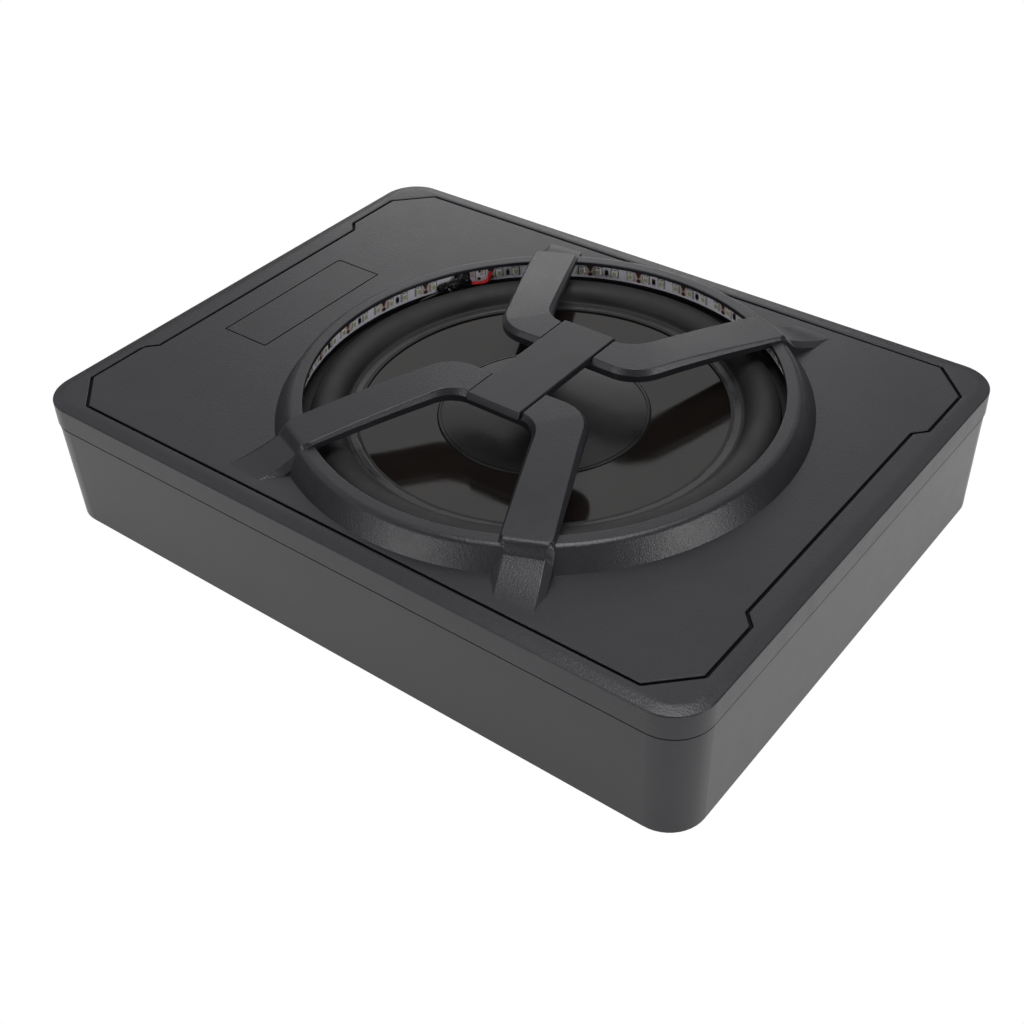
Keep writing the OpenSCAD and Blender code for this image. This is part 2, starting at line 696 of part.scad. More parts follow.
// Puts a shape on the strip: its X runs round the ring, Y up the wall, Z into the ring
module on_strip(steps, up, out) {
  translate([woofer_x, 0, top]) rotate([0, 0, led_from - steps * led_step])
    translate([wall_at(strip_mid) - glue - strip_t, 0, strip_mid])
      rotate([0, -wall_tilt, 0]) translate([-out, 0, up]) rotate([90, 0, -90]) children();
}

module light_strip() {
  z0 = strip_z;
  z1 = strip_z + strip_w;
  color("#c9c6d0")
  translate([woofer_x, 0, top]) rotate([0, 0, strip_gap_at + strip_gap / 2])
    rotate_extrude(angle = strip_span, $fn = 180)
      polygon([[wall_at(z0) - glue, z0], [wall_at(z1) - glue, z1],
               [wall_at(z1) - glue - strip_t, z1], [wall_at(z0) - glue - strip_t, z0]]);
}

module led_chips() {
  color("#e9e4cf")
  for (i = [0 : led_count - 1]) on_strip(i + 0.5, 0, 0)
    translate([-led_l / 2, -led_w / 2, 0.02]) cube([led_l, led_w, led_t]);
}

module led_resistors() {
  color("#151517")
  for (i = [0 : 3 : led_count - 3]) on_strip(i + 1, 0, 0)
    translate([-0.8, -1.6, 0.02]) cube([1.6, 3.2, 0.6]);
}

module strip_pads() {
  color("#7a3f24")
  for (i = [0 : 3 : led_count], y = [-1, 1]) on_strip(i, y * pad_up, 0)
    translate([0, 0, 0.02]) cylinder(h = 0.16, r = 1.1, $fn = 32);
}

function polar_point(a, r, z) = [woofer_x + r * cos(a), r * sin(a), top + z];
// A point beside the ring's wall: angle, distance from the wall, height from the panel
function ring_point(a, d, z) = polar_point(a, ring_wall_r - d, z);

module strip_lead_red() {
  color("#c01a1a")
  wire([ring_point(140.6, 1, 5), ring_point(140.9, 1.9, 4.4), ring_point(141.7, 2.3, 2.2),
        ring_point(143.4, 2.3, 1.4), ring_point(145.85, 1.2, 1.1)], 0.75);
}

module strip_lead_black() {
  color("#0d0d0d")
  wire([ring_point(155.85, 1.1, 0.3), ring_point(156.7, 1.5, -0.1), ring_point(157.8, 2, -1.2),
        ring_point(158.4, 2.2, -2.6), ring_point(158.4, 2.2, gasket_top - top)], 0.75);
}

// Stations along the wrap: angle, lower edge, upper edge, depth
wrap_at = [[146, 0, 2.2, 2.2], [147, -0.9, 4, 3], [148.4, -1.2, 5.4, 3.4], [150.2, -1, 6.2, 3.7],
           [152, -1.6, 6.6, 3.8], [153.4, -1.9, 6.4, 3.6], [154.7, -1.6, 5.4, 3],
           [155.6, -0.6, 3.6, 2]];
function wrap_ring(w, n) =
  let (mid = (w[1] + w[2]) / 2, half = (w[2] - w[1]) / 2)
  [for (k = [0 : n - 1]) let (a = 180 * k / (n - 1) - 90, z = mid + half * sin(a))
    polar_point(w[0], wall_at(z) - glue - strip_t - w[3] * cos(a), z)];

module strip_sleeve() {
  n = 11;
  m = len(wrap_at);
  pts = [for (w = wrap_at) each wrap_ring(w, n)];
  sides = [for (i = [0 : m - 2], k = [0 : n - 1])
    let (a = n * i + k, b = n * i + (k + 1) % n) each [[a, b, b + n], [a, b + n, a + n]]];
  caps = [for (k = [1 : n - 2]) each [[0, k + 1, k], [n * m - n, n * m - n + k, n * m - n + k + 1]]];
  color("#101012") polyhedron(points = pts, faces = concat(sides, caps));
}

// ---------------------------------------------------------------- woofer

// The surround's middle line: f from 0 at the cone to 1 at the frame
function roll_pt(f, e) = [roll_mid_r - (roll_r + e) * cos(180 * f),
  cone_z + roll_t + (roll_h - roll_t + e) * sin(180 * f)];
inner_edge = [cone_r - 4.9, cone_z];

module surround() {
  n = 18;
  color("#0f0f10")
  translate([woofer_x, 0, 0]) rotate_extrude($fn = 180)
    polygon(concat(
      [inner_edge, inner_edge + [0, roll_t]],
      [for (i = [0 : n]) roll_pt(i / n, 0)],
      [[roll_edge_r, flange_z + roll_t], [gasket_r, flange_z + roll_t], [gasket_r, flange_z],
       [roll_edge_r - roll_t, flange_z]],
      [for (i = [n : -1 : 0]) roll_pt(i / n, -roll_t) - [0, i == 0 ? roll_t : 0]]));
}

module woofer_gasket() {
  color("#111112")
  translate([woofer_x, 0, flange_z + roll_t]) tube(gasket_r, roll_edge_r + 0.4, gasket_h);
}

module cone() {
  z = cone_z;
  color("#1a1a1c")
  translate([woofer_x, 0, 0]) rotate_extrude($fn = 180)
    polygon([[cone_r, z], [cone_r - 5, z], [cap_r, cap_z], [former_r + 1.2, cap_z - 8],
             [former_r, cap_z - 8], [former_r, cap_z - 9.2], [former_r + 1.8, cap_z - 9.2],
             [cap_r + 0.4, cap_z - cone_t], [cone_r - 5, z - cone_t], [cone_r, z - cone_t]]);
}

module dust_cap() {
  n = 10;
  color("#1f1f22")
  translate([woofer_x, 0, cap_z]) rotate_extrude($fn = 180)
    polygon(concat(
      [[0, cap_h], [0, cap_h - 0.8]],
      [for (i = [1 : n]) let (r = (cap_r - 1.6) * i / n)
        [r, (cap_h - 0.8) * (1 - pow(i / n, 2))]],
      [[cap_r - 1.6, 0], [cap_r, 0], [cap_r, 0.8], [cap_r - 1.6, 0.8]],
      [for (i = [n - 1 : -1 : 1]) let (r = (cap_r - 1.6) * i / n)
        [r, 0.8 + (cap_h - 0.8) * (1 - pow(i / n, 2))]]));
}

module coil_former() {
  color("#a88a52")
  translate([woofer_x, 0, coil_z + 3.5])
    tube(former_r, former_r - former_t, cap_z - 8.4 - coil_z - 3.5);
}

module voice_coil() {
  color("#a4562a")
  translate([woofer_x, 0, coil_z]) tube(former_r + coil_t, former_r, coil_l);
}

module spider() {
  n = 48;
  ri = former_r;
  ro = spider_r;
  color("#8f6b2e")
  translate([woofer_x, 0, spider_z]) rotate_extrude($fn = 144)
    polygon(concat(
      [[ri, 0.5], [ri + 4, 0.5]],
      [for (i = [0 : n]) [ri + 4 + (ro - ri - 9) * i / n, 0.5 + 1.3 * sin(360 * 5 * i / n)]],
      [[ro, 0.5], [ro, 0]],
      [for (i = [n : -1 : 0]) [ri + 4 + (ro - ri - 9) * i / n, 1.3 * sin(360 * 5 * i / n)]],
      [[ri, 0]]));
}

module basket() {
  z = flange_z;
  t = frame_t;
  color("#232326")
  translate([woofer_x, 0, 0]) difference() {
    rotate_extrude($fn = 180)
      polygon([[seat_r, z], [frame_r, z], [frame_r, z - t], [seat_r + 0.4, z - t],
               [seat_r - 5, z - 8], [spider_r + 5, spider_z - t], [spider_r - 4, spider_z - t],
               [spider_r - 10, motor_z + t], [34, motor_z], [34, motor_z + t],
               [spider_r - 11, motor_z + t], [spider_r - 5, spider_z],
               [spider_r + 4.5, spider_z], [seat_r - 6.4, z - 7.2], [seat_r - 1, z - t]]);
    for (i = [0 : 5]) rotate([0, 0, 60 * i])
      translate([0, 0, motor_z - 2.5]) intersection() {
        tube(seat_r - 9.4, spider_r + 8, 24);
        rotate([0, 0, -21]) cube([120, 120, 24]);
        rotate([0, 0, -69]) cube([120, 120, 24]);
      }
    for (i = [0 : frame_screws - 1]) rotate([0, 0, (i + 0.5) * 360 / frame_screws])
      translate([frame_screw_circle, 0, z - 5]) cylinder(h = 10, r = 1.7);
  }
}

module woofer_screws() {
  color("#8a8a8c")
  translate([woofer_x, 0, flange_z - frame_t])
    for (i = [0 : frame_screws - 1]) rotate([0, 0, (i + 0.5) * 360 / frame_screws])
      translate([frame_screw_circle, 0, 0]) {
        translate([0, 0, -2.2]) cylinder(h = 2.2, r = 2.9);
        cylinder(h = 7, r = 1.4);
      }
}

module front_plate() {
  color("#77797c")
  translate([woofer_x, 0, motor_z - iron_t])
    tube(magnet_r - 3, former_r + coil_t + 0.5, iron_t);
}

module magnet() {
  color("#3a3a3c")
  translate([woofer_x, 0, magnet_z]) tube(magnet_r, former_r + 4.6, magnet_h);
}

module back_plate() {
  z = magnet_z;
  color("#77797c")
  translate([woofer_x, 0, 0]) difference() {
    union() {
      translate([0, 0, z - iron_t + 1]) cylinder(h = iron_t - 1, r = magnet_r - 3);
      translate([0, 0, z - 1]) cylinder(h = motor_z - z + 1, r = former_r - former_t - 0.5);
    }
    translate([0, 0, z - iron_t]) cylinder(h = magnet_h + 2 * iron_t + 2, r = 5);
  }
}

module terminal_strip() {
  color("#8a6a3c")
  translate([woofer_x - spider_r - 4.2, -7, spider_z]) cube([3.2, 14, 5.2]);
}

module terminal_tags() {
  color("#c8c8ca")
  for (y = [-tag_y, tag_y])
    translate([woofer_x - spider_r - tag_end, y - 1.2, spider_z + 2]) cube([3.4, 2.4, 0.8]);
}

// A point on a speaker wire: distance out from the tag, place across, height
function tag_point(d, y, z) = [woofer_x - spider_r - tag_end - d, y, z];

module speaker_wire_red() {
  color("#b51c1c")
  wire([tag_point(0, tag_y, spider_z + 2.4), tag_point(2.9, tag_y, spider_z + 2.4),
        tag_point(12.4, tag_y + 1, spider_z - 1.1), tag_point(18.4, 12, motor_z + 1.5),
        tag_point(20.4, 22, board_top + 5.4), tag_point(20.4, 22, board_top)], 1.1);
}

module speaker_wire_black() {
  color("#101010")
  wire([tag_point(0, -tag_y, spider_z + 2.4), tag_point(2.9, -tag_y, spider_z + 2.4),
        tag_point(12.4, 1 - tag_y, spider_z - 1.6), tag_point(19.4, 4, motor_z - 1.5),
        tag_point(20.4, 14, board_top + 5.4), tag_point(20.4, 14, board_top)], 1.1);
}

// ---------------------------------------------------------------- amplifier

module amp_board() {
  color("#1d5a34")
  difference() {
    translate([board_x, -board_w / 2, board_z]) cube([board_l, board_w, board_t]);
    for (p = board_xy) translate([p[0], p[1], board_z - 1]) cylinder(h = board_t + 2, r = 1.7);
  }
}

module board_screws() {
  color("#9a9a9c")
  for (p = board_xy) translate([p[0], p[1], 0]) {
    translate([0, 0, board_top]) cylinder(h = 2, r = 2.8);
    translate([0, 0, board_z - 7]) cylinder(h = 7.1 + board_t, r = 1.2);
  }
}

module heatsink() {
  fins = floor((sink_l - 3) / sink_step);
  color("#9fa1a4")
  translate([sink_x, sink_y, board_top]) {
    cube([3, sink_l, sink_h]);
    for (i = [0 : fins]) translate([2.9, 1 + i * sink_step, 0]) cube([18, 2, sink_h]);
  }
}

module power_transistors() {
  color("#161618")
  for (i = [0 : 3]) translate([sink_x - 4.4, sink_y + sink_l * (i + 0.3) / 4, board_top]) {
    translate([0, 0, 3]) cube([4.4, 9.6, 15]);
    for (k = [1.4, 4.4, 7.4]) translate([2, k, 0]) cube([0.8, 0.8, 3]);
  }
}

module toroid_core() {
  color("#4a4c4f")
  translate([toroid_xy[0], toroid_xy[1], board_top + winding_t])
    tube(toroid_r - winding_t, toroid_hole_r + winding_t, toroid_h - 2 * winding_t);
}

module toroid_winding() {
  color("#b5652c")
  translate([toroid_xy[0], toroid_xy[1], board_top]) difference() {
    tube(toroid_r, toroid_hole_r, toroid_h);
    translate([0, 0, winding_t])
      tube(toroid_r - winding_t, toroid_hole_r + winding_t, toroid_h - 2 * winding_t);
  }
}

module capacitors() {
  color("#23242a")
  for (p = [[27, 20], [27, 40], [27, 0], [10, 30]])
    translate([board_x + p[0], p[1], board_top]) difference() {
      cylinder(h = capacitor_h, r = capacitor_r);
      for (a = [0, 90]) rotate([0, 0, a])
        translate([2.5 - capacitor_r, -0.3, capacitor_h - 0.5]) cube([2 * capacitor_r - 5, 0.6, 1]);
    }
}

// ---------------------------------------------------------------- control panel

gain_y = -34;
cross_y = -54;
boost_y = -74;
phase_y = -91;
phono_y = [-3, -19];
power_y = 80;
fuse_y = 52;
input_y = 29;
jack_y = 11;
lamp_y = pocket_w / 2 - 7.4;
knob_z0 = 0.6;

module control_panel() {
  color("#131315")
  difference() {
    translate([-face_x, -pocket_w / 2 + 0.3, pocket_z + 0.3])
      cube([control_t, pocket_w - 0.6, pocket_h - 0.6]);
    for (y = [gain_y, cross_y, boost_y]) on_panel(y, control_z, -face_x + 3)
      cylinder(h = 6, r = 3.6);
    on_panel(phase_y, control_z, -face_x + 3)
      translate([-slider_slot / 2 - 1.2, -2.6, 0]) cube([slider_slot + 2.4, 5.2, 6]);
    for (y = phono_y) on_panel(y, control_z, -face_x + 3) cylinder(h = 6, r = phono_r + 0.6);
    translate([-face_x - 1, power_y - 12.2, control_z - 8.2]) cube([6, 24.4, 16.4]);
    translate([-face_x - 1, fuse_y - 8.2, control_z - 5.2]) cube([6, 16.4, 10.4]);
    translate([-face_x - 1, input_y - 8.2, control_z - 5.2]) cube([6, 16.4, 10.4]);
    translate([-face_x - 1, jack_y - 5.2, control_z - 5.2]) cube([6, 10.4, 10.4]);
    on_panel(lamp_y, control_z + 8, -face_x + 3) cylinder(h = 6, r = 1.5);
    for (y = [-1, 1], z = [-1, 1])
      on_panel(y * (pocket_w / 2 - 3), pocket_z + pocket_h / 2 + z * (pocket_h / 2 - 2.4),
               -face_x + 4)
        cylinder(h = 8, r = 1.2);
  }
}

module panel_screws() {
  color("#6f7073")
  for (y = [-1, 1], z = [-1, 1])
    on_panel(y * (pocket_w / 2 - 3), pocket_z + pocket_h / 2 + z * (pocket_h / 2 - 2.4))
      difference() {
        union() {
          cylinder(h = 1.3, r = 1.9);
          translate([0, 0, -control_t - 2.2]) cylinder(h = control_t + 2.3, r = 0.9);
        }
        for (a = [0, 90]) rotate([0, 0, a]) translate([-1.2, -0.25, 0.6]) cube([2.4, 0.5, 1]);
      }
}

module pot_bodies() {
  color("#2b4f7d")
  for (y = [gain_y, cross_y, boost_y]) on_panel(y, control_z, -face_x + control_t) {
    translate([-5, -5, -7]) cube([10, 10, 7]);
    translate([0, 0, -0.1]) cylinder(h = control_t + 0.4, r = 3.3);
  }
}

module knob(y) {
  on_panel(y, control_z) difference() {
    union() {
      translate([0, 0, knob_z0]) cylinder(h = knob_l, r = knob_r - 0.5);
      translate([0, 0, knob_z0]) cylinder(h = 1.6, r = knob_r);
      for (i = [0 : 11]) rotate([0, 0, 30 * i]) translate([knob_r - 1, -0.6, knob_z0 + 1.6])
        cube([1, 1.2, knob_l - 2.4]);
    }
    translate([-0.45, 0, knob_z0 + knob_l - 0.6]) cube([0.9, knob_r - 1.2, 1]);
  }
}

module gain_knob() {
  color("#0e0e0f") knob(gain_y);
}

module crossover_knob() {
  color("#0e0e0f") knob(cross_y);
}

module boost_knob() {
  color("#0e0e0f") knob(boost_y);
}

module phase_housing() {
  color("#8d8f92")
  on_panel(phase_y, control_z, -face_x + control_t) difference() {
    translate([-slider_slot / 2 - 2.6, -4, -6]) cube([slider_slot + 5.2, 8, 6]);
    translate([-slider_slot / 2, -1.7, -4.6]) cube([slider_slot, 3.4, 6]);
  }
}

module phase_slider() {
  color("#111112")
  on_panel(phase_y, control_z, -face_x + control_t)
    translate([slider_gap - slider_slot / 2, -1.4, -4.3]) {
      cube([slider_l, 2.8, 3]);
      translate([(slider_l - 2.4) / 2, 0.3, 2.9]) cube([2.4, 2.2, 6.4]);
    }
}

module phono_body() {
  color("#17171a")
  difference() {
    translate([-face_x + control_t, phono_y[1] - 7.5, control_z - 7.5]) cube([12, 31, 15]);
    for (y = phono_y) on_panel(y, control_z, -face_x + control_t) translate([0, 0, -6])
      cylinder(h = 7, r = phono_r);
  }
}

module phono_shells() {
  color("#c9a24e")
  for (y = phono_y) on_panel(y, control_z) difference() {
    union() {
      translate([0, 0, -control_t - 6])
        cylinder(h = control_t + 6 + phono_flange + phono_l, r = phono_r);
      cylinder(h = phono_flange, r = phono_r + 1.2);
    }
    translate([0, 0, -control_t - 2]) cylinder(h = 30, r = phono_r - 0.7);
  }
}

module phono_contacts() {
  color("#d8cfc0")
  for (y = phono_y) on_panel(y, control_z) translate([0, 0, -control_t - 2]) difference() {
    cylinder(h = control_t + 2 + phono_flange + phono_l - 1, r = phono_r - 0.7);
    translate([0, 0, 1]) cylinder(h = 30, r = 1.7);
  }
}

module power_socket() {
  color("#ded8c6")
  translate([-face_x - 9, power_y - 12, control_z - 8]) difference() {
    cube([9 + control_t + 9, 24, 16]);
    translate([-1, 1.5, 1.5]) cube([13, 21, 13]);
  }
}

module power_pins() {
  color("#c4c4c6")
  for (k = [-1, 1], z = [-1, 1]) translate([-face_x - 6.5, power_y + k * 5.2, control_z + z * 3.3])
    translate([0, -0.9, -0.9]) cube([9.5, 1.8, 1.8]);
}

module input_socket() {
  color("#e4dfce")
  translate([-face_x - 6, input_y - 8, control_z - 5]) difference() {
    cube([6 + control_t + 7, 16, 10]);
    translate([-1, 1.2, 1.2]) cube([9.5, 13.6, 7.6]);
  }
}

module input_pins() {
  color("#c4c4c6")
  for (k = [-1.5 : 1 : 1.5]) translate([-face_x - 0.8, input_y + k * 3.2, control_z])
    translate([0, -0.5, -0.5]) cube([3.3, 1, 1]);
}

module fuse_holder() {
  color("#1a1a1d")
  translate([-face_x - 3, fuse_y - 8, control_z - 5]) difference() {
    cube([3 + control_t + 12, 16, 10]);
    translate([-1, 1.2, 2.2]) cube([5, 13.6, 5.6]);
    for (k = [-1, 1]) translate([3, 8 + k * 4.3 - 2.4, 4.3]) cube([10, 4.8, 1.4]);
  }
}

module fuse_body() {
  color("#2f6fd0")
  translate([-face_x - 8.6, fuse_y - 6.4, control_z - 2.5]) difference() {
    cube([9.4, 12.8, 5]);
    translate([-1, 3.4, 1.2]) cube([3, 6, 2.6]);
  }
}

module fuse_blades() {
  color("#cfcfd2")
  for (k = [-1, 1]) translate([-face_x + 0.8, fuse_y + k * 4.3 - 2.1, control_z - 0.4])
    cube([8, 4.2, 0.8]);
}

module remote_jack() {
  color("#202024")
  translate([-face_x - 1.2, jack_y - 5, control_z - 5]) difference() {
    cube([1.2 + control_t + 12, 10, 10]);
    translate([-1, 5, 5]) rotate([0, 90, 0]) cylinder(h = 12, r = 1.8);
  }
}

module power_lamp() {
  color("#c0392b")
  on_panel(lamp_y, control_z + 8) {
    translate([0, 0, -control_t - 3]) cylinder(h = control_t + 3.6, r = 1.5);
    translate([0, 0, -control_t - 3]) cylinder(h = 3, r = 1.9);
  }
}

// ---------------------------------------------------------------- drawing

case();
top_cover();
centre_plate();
seal_gasket();
rubber_feet();
cover_screws();
bracket_bushings();
light_strip();
led_chips();
led_resistors();
strip_pads();
strip_lead_red();
strip_lead_black();
strip_sleeve();
woofer_gasket();
basket();
woofer_screws();
front_plate();
magnet();
back_plate();
surround();
spider();
cone();
dust_cap();
coil_former();
voice_coil();
terminal_strip();
terminal_tags();
speaker_wire_red();
speaker_wire_black();
amp_board();
board_screws();
heatsink();
power_transistors();
toroid_core();
toroid_winding();
capacitors();
control_panel();
panel_screws();
pot_bodies();
gain_knob();
crossover_knob();
boost_knob();
phase_housing();
phase_slider();
phono_body();
phono_shells();
phono_contacts();
power_socket();
power_pins();
input_socket();
input_pins();
fuse_holder();
fuse_body();
fuse_blades();
remote_jack();
power_lamp();
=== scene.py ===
"""Powered car subwoofer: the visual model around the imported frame."""
import math

import bmesh
import bpy
from mathutils import Matrix, Vector, noise


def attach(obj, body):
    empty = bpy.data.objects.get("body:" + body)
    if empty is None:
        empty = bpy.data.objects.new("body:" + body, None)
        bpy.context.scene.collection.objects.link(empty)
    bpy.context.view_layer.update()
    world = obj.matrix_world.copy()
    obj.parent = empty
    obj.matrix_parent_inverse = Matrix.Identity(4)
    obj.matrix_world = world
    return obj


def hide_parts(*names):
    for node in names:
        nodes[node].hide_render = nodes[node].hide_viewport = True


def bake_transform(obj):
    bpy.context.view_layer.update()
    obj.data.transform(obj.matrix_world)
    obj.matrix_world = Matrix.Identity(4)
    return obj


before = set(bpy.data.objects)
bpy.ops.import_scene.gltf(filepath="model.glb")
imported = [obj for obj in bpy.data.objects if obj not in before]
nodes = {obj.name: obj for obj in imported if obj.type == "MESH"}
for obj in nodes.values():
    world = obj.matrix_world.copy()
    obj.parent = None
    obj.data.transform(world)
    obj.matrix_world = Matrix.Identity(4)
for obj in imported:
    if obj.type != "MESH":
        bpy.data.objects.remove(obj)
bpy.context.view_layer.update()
MM = 0.001

# ---- sizes, in mm: Z is up from the ground
# Cover: the panel's top, half its sides, the corners, the case's top edge, the gap above it, the walls
TOP = 65.0
HALF_X, HALF_Y, CORNER_R = 172.5, 129.0, 18.0
CASE_TOP, SEAM = 52.1, 0.8
PANEL_T, LIP_T = 3.0, 3.4
RIM_W, RIM_DROP, RIM_EDGE_R, RIM_FADE = 5.0, 1.0, 0.85, 1.0
# Ring: radii from the lip to the foot of the slope, heights, the flat round it, the wall of its collar
WOOFER_X = 16.0
RING_IN_R, RING_WALL_R, COLLAR_R = 104.6, 107.6, 109.0
RING_CREST_R, RING_BASE_R, RING_H, COLLAR_D, LIP_FACE = 110.9, 117.7, 9.2, 7.0, 2.0
RING_ROUND, RING_FLAT, COLLAR_T = 4.0, 0.8, 3.2
# Groove (its corners in the first quadrant) and the badge's line
GROOVE_W, GROOVE_D, GROOVE_LEAD, GROOVE_IN_LEAD, GROOVE_CORNER_R = 1.3, 1.2, 0.4, 0.3, 1.2
GROOVE_QUARTER = [(147, 120.4), (163.4, 104), (163.4, 73), (158.3, 67.6)]
BADGE_X, BADGE_L, BADGE_W, BADGE_D, BADGE_LINE, BADGE_CLIP = -129.8, 26.8, 80.0, 0.5, 0.7, 1.4
# Arms: heights over the panel, places along them, edges, bends, thickness, bevels, feet
ARM_H, ARM_CREST_H, ARM_CREST_S, ARM_FALL_S, ARM_BOW = 17.2, 11.0, 109.4, 38.0, 0.8
ARM_NEAR_Y, ARM_FAR_Y, ARM_ANGLE = 15.3, 35.0, math.radians(24.6)
ARM_OUTER_T, ARM_INNER_T = 27.4, 5.6
BEND_OUTER_R, BEND_INNER_R = 19.0, 14.0
ARM_T, ARM_END_T, BEVEL_W, BEVEL_H, BEVEL_END_H, BEVEL_THIN = 5.7, 3.9, 1.9, 2.5, 1.3, 0.6
CREST_HALF, CREST_RUN = 1.6, 2.6
ARM_ROUNDS = [0.25, 0.45, 0.7, 0.7, 0.45, 0.25]
FOOT_LEN, FOOT_END_Y, FOOT_SINK, FOOT_FLARE, BROW, KNEE_H = 30.5, 118.6, -2.6, 0.5, 3.6, 6.6
FOOT_BEVEL_W, FOOT_BEVEL_H = BEVEL_W + 1.3, BEVEL_END_H + 0.85
PLATE_L, PLATE_W, PLATE_H, PLATE_T, PLATE_CORNER_R = 26.2, 69.2, 17.7, 3.2, 0.35
PLATE_BEVEL, PLATE_END, PLATE_GAP = 0.6, 1.4, 0.5
# Light strip on the ring's wall, heights over the panel; lights by their angle and step in degrees
STRIP_Z, STRIP_W, STRIP_T = -1.0, 8.0, 0.35
LED_FROM, LED_STEP, LED_COUNT = 140.5, 4.38, 79
LED_L, LED_W, LED_T, PAD_UP = 2.8, 3.5, 0.8, 1.95
STRIP_GAP_AT, STRIP_GAP, GLUE, GASKET_TOP = 148.4, 4.4, 0.08, -4.0
# Woofer: the cone, the surround's roll, the spider and the dust cap
CONE_R, CONE_Z, FLANGE_Z, FRAME_R = 86.5, TOP - 4.9, TOP - COLLAR_D - 1.5, 108.5
ROLL_FOOT_R, ROLL_EDGE_R, ROLL_T, ROLL_H = 87.9, 103.3, 0.8, 7.7
SPIDER_Z, SPIDER_R, SPIDER_T, FORMER_R = 44.6, 62.0, 0.5, 25.4
SURROUND_LAP, GLUE_IN_R, GLUE_OUT_R = 4.9, 83.0, 86.3
# Radii where each soft ring stays with the cabinet and where it goes with the cone
ROLL_BEND, SPIDER_BEND = (102.6, 89.2), (57.0, 30.0)
CAP_Z, CAP_R, CAP_H, CAP_EDGE, CAP_UP = TOP - 6.9, 46.8, 2.3, 0.45, 0.02


# ---- node material helper
def add_node(tree, kind, values=None, operation=None, data_type=None, interpolation=None):
    """A new node, with a value or a link for each of its named or numbered inputs."""
    node = tree.nodes.new(kind)
    if operation:
        node.operation = operation
    if data_type:
        node.data_type = data_type
    if interpolation:
        node.interpolation_type = interpolation
    for key, value in (values or {}).items():
        if isinstance(value, bpy.types.NodeSocket):
            tree.links.new(value, node.inputs[key])
        else:
            node.inputs[key].default_value = value
    return node


class Look:
    """A material under construction. Sizes are in mm on the piece."""

    def __init__(self, name, base, metallic=0.0, specular=0.5):
        self.mat = bpy.data.materials.new(name)
        self.mat.use_nodes = True
        self.tree = self.mat.node_tree
        self.bsdf = self.tree.nodes["Principled BSDF"]
        self.bsdf.inputs["Base Color"].default_value = (*base, 1)
        self.bsdf.inputs["Metallic"].default_value = metallic
        self.bsdf.inputs["Specular IOR Level"].default_value = specular
        self.base = base
        self.coords = add_node(self.tree, "ShaderNodeTexCoord").outputs["Object"]
        self.last_bump = None

    def noise(self, size_mm, detail, rough, stretch=(1, 1, 1)):
        """Noise in the object's own space, from 0 to 1."""
        place = self.coords
        if stretch != (1, 1, 1):
            stretched = {"Vector": place, "Scale": stretch}
            place = add_node(self.tree, "ShaderNodeMapping", stretched).outputs["Vector"]
        values = {"Vector": place, "Scale": 1 / MM / size_mm, "Detail": detail, "Roughness": rough}
        return add_node(self.tree, "ShaderNodeTexNoise", values).outputs["Fac"]

    def remap(self, value, a, b, lo, hi):
        """Evenly from lo to hi while the value goes from a to b."""
        values = {"Value": value, "From Min": a, "From Max": b, "To Min": lo, "To Max": hi}
        return add_node(self.tree, "ShaderNodeMapRange", values).outputs["Result"]

    def mix(self, share, first, second):
        """A blend of two colours, each a socket or three numbers."""
        a, b = (c if isinstance(c, bpy.types.NodeSocket) else (*c, 1) for c in (first, second))
        values = {"Factor": share, 6: a, 7: b}
        return add_node(self.tree, "ShaderNodeMix", values, data_type="RGBA").outputs[2]

    def colour(self, socket):
        """Takes the colour from a socket."""
        self.tree.links.new(socket, self.bsdf.inputs["Base Color"])

    def rough(self, socket):
        """Takes the roughness from a socket."""
        self.tree.links.new(socket, self.bsdf.inputs["Roughness"])

    def bump(self, height, depth_mm):
        """Adds a layer of bump over the layers already there."""
        values = {"Height": height, "Distance": depth_mm * MM}
        if self.last_bump:
            values["Normal"] = self.last_bump
        self.last_bump = add_node(self.tree, "ShaderNodeBump", values).outputs["Normal"]
        self.tree.links.new(self.last_bump, self.bsdf.inputs["Normal"])

    def scuffs(self, centre, reach_mm):
        """A few pale specks and short scratches near one place."""
        ends = {0: self.coords, 1: [c * MM for c in centre]}
        away = add_node(self.tree, "ShaderNodeVectorMath", ends, "DISTANCE")
        near = self.remap(away.outputs["Value"], 0.4 * reach_mm * MM, reach_mm * MM, 1.0, 0.0)
        specks = self.remap(self.noise(0.9, 3.0, 0.7, (1.0, 2.4, 1.0)), 0.62, 0.7, 0.0, 0.5)
        share = add_node(self.tree, "ShaderNodeMath", {0: near, 1: specks}, "MULTIPLY").outputs[0]
        plain = self.bsdf.inputs["Base Color"].links[0].from_socket
        self.colour(self.mix(share, plain, (0.3, 0.3, 0.31)))

    def varied(self, amount, size_mm, rough_lo=None, rough_hi=None):
        """Slow change of colour and of roughness over the surface."""
        slow = self.remap(self.noise(size_mm, 3.0, 0.55), 0.3, 0.7, 0.0, 1.0)
        self.colour(self.mix(slow, *([c * (1 + change) for c in self.base] for change in (-amount, amount))))
        if rough_lo is not None:
            self.rough(self.remap(self.noise(size_mm * 0.4, 4.0, 0.6), 0.3, 0.7, rough_lo, rough_hi))


def layered(name, base, slow, fine, depth_mm, **settings):
    """A look from its slow change and from the noise and depth of its bump."""
    look = Look(name, base, **settings)
    look.varied(*slow)
    look.bump(look.noise(*fine), depth_mm)
    return look


def grained(name, base, rough_lo, rough_hi, grain_mm, depth_mm, specular=0.5, amount=0.12):
    """Plastic, rubber, paint or cloth with a fine grain."""
    slow = (amount, 25.0, rough_lo, rough_hi)
    return layered(name, base, slow, (grain_mm, 2.0, 0.6), depth_mm, specular=specular)


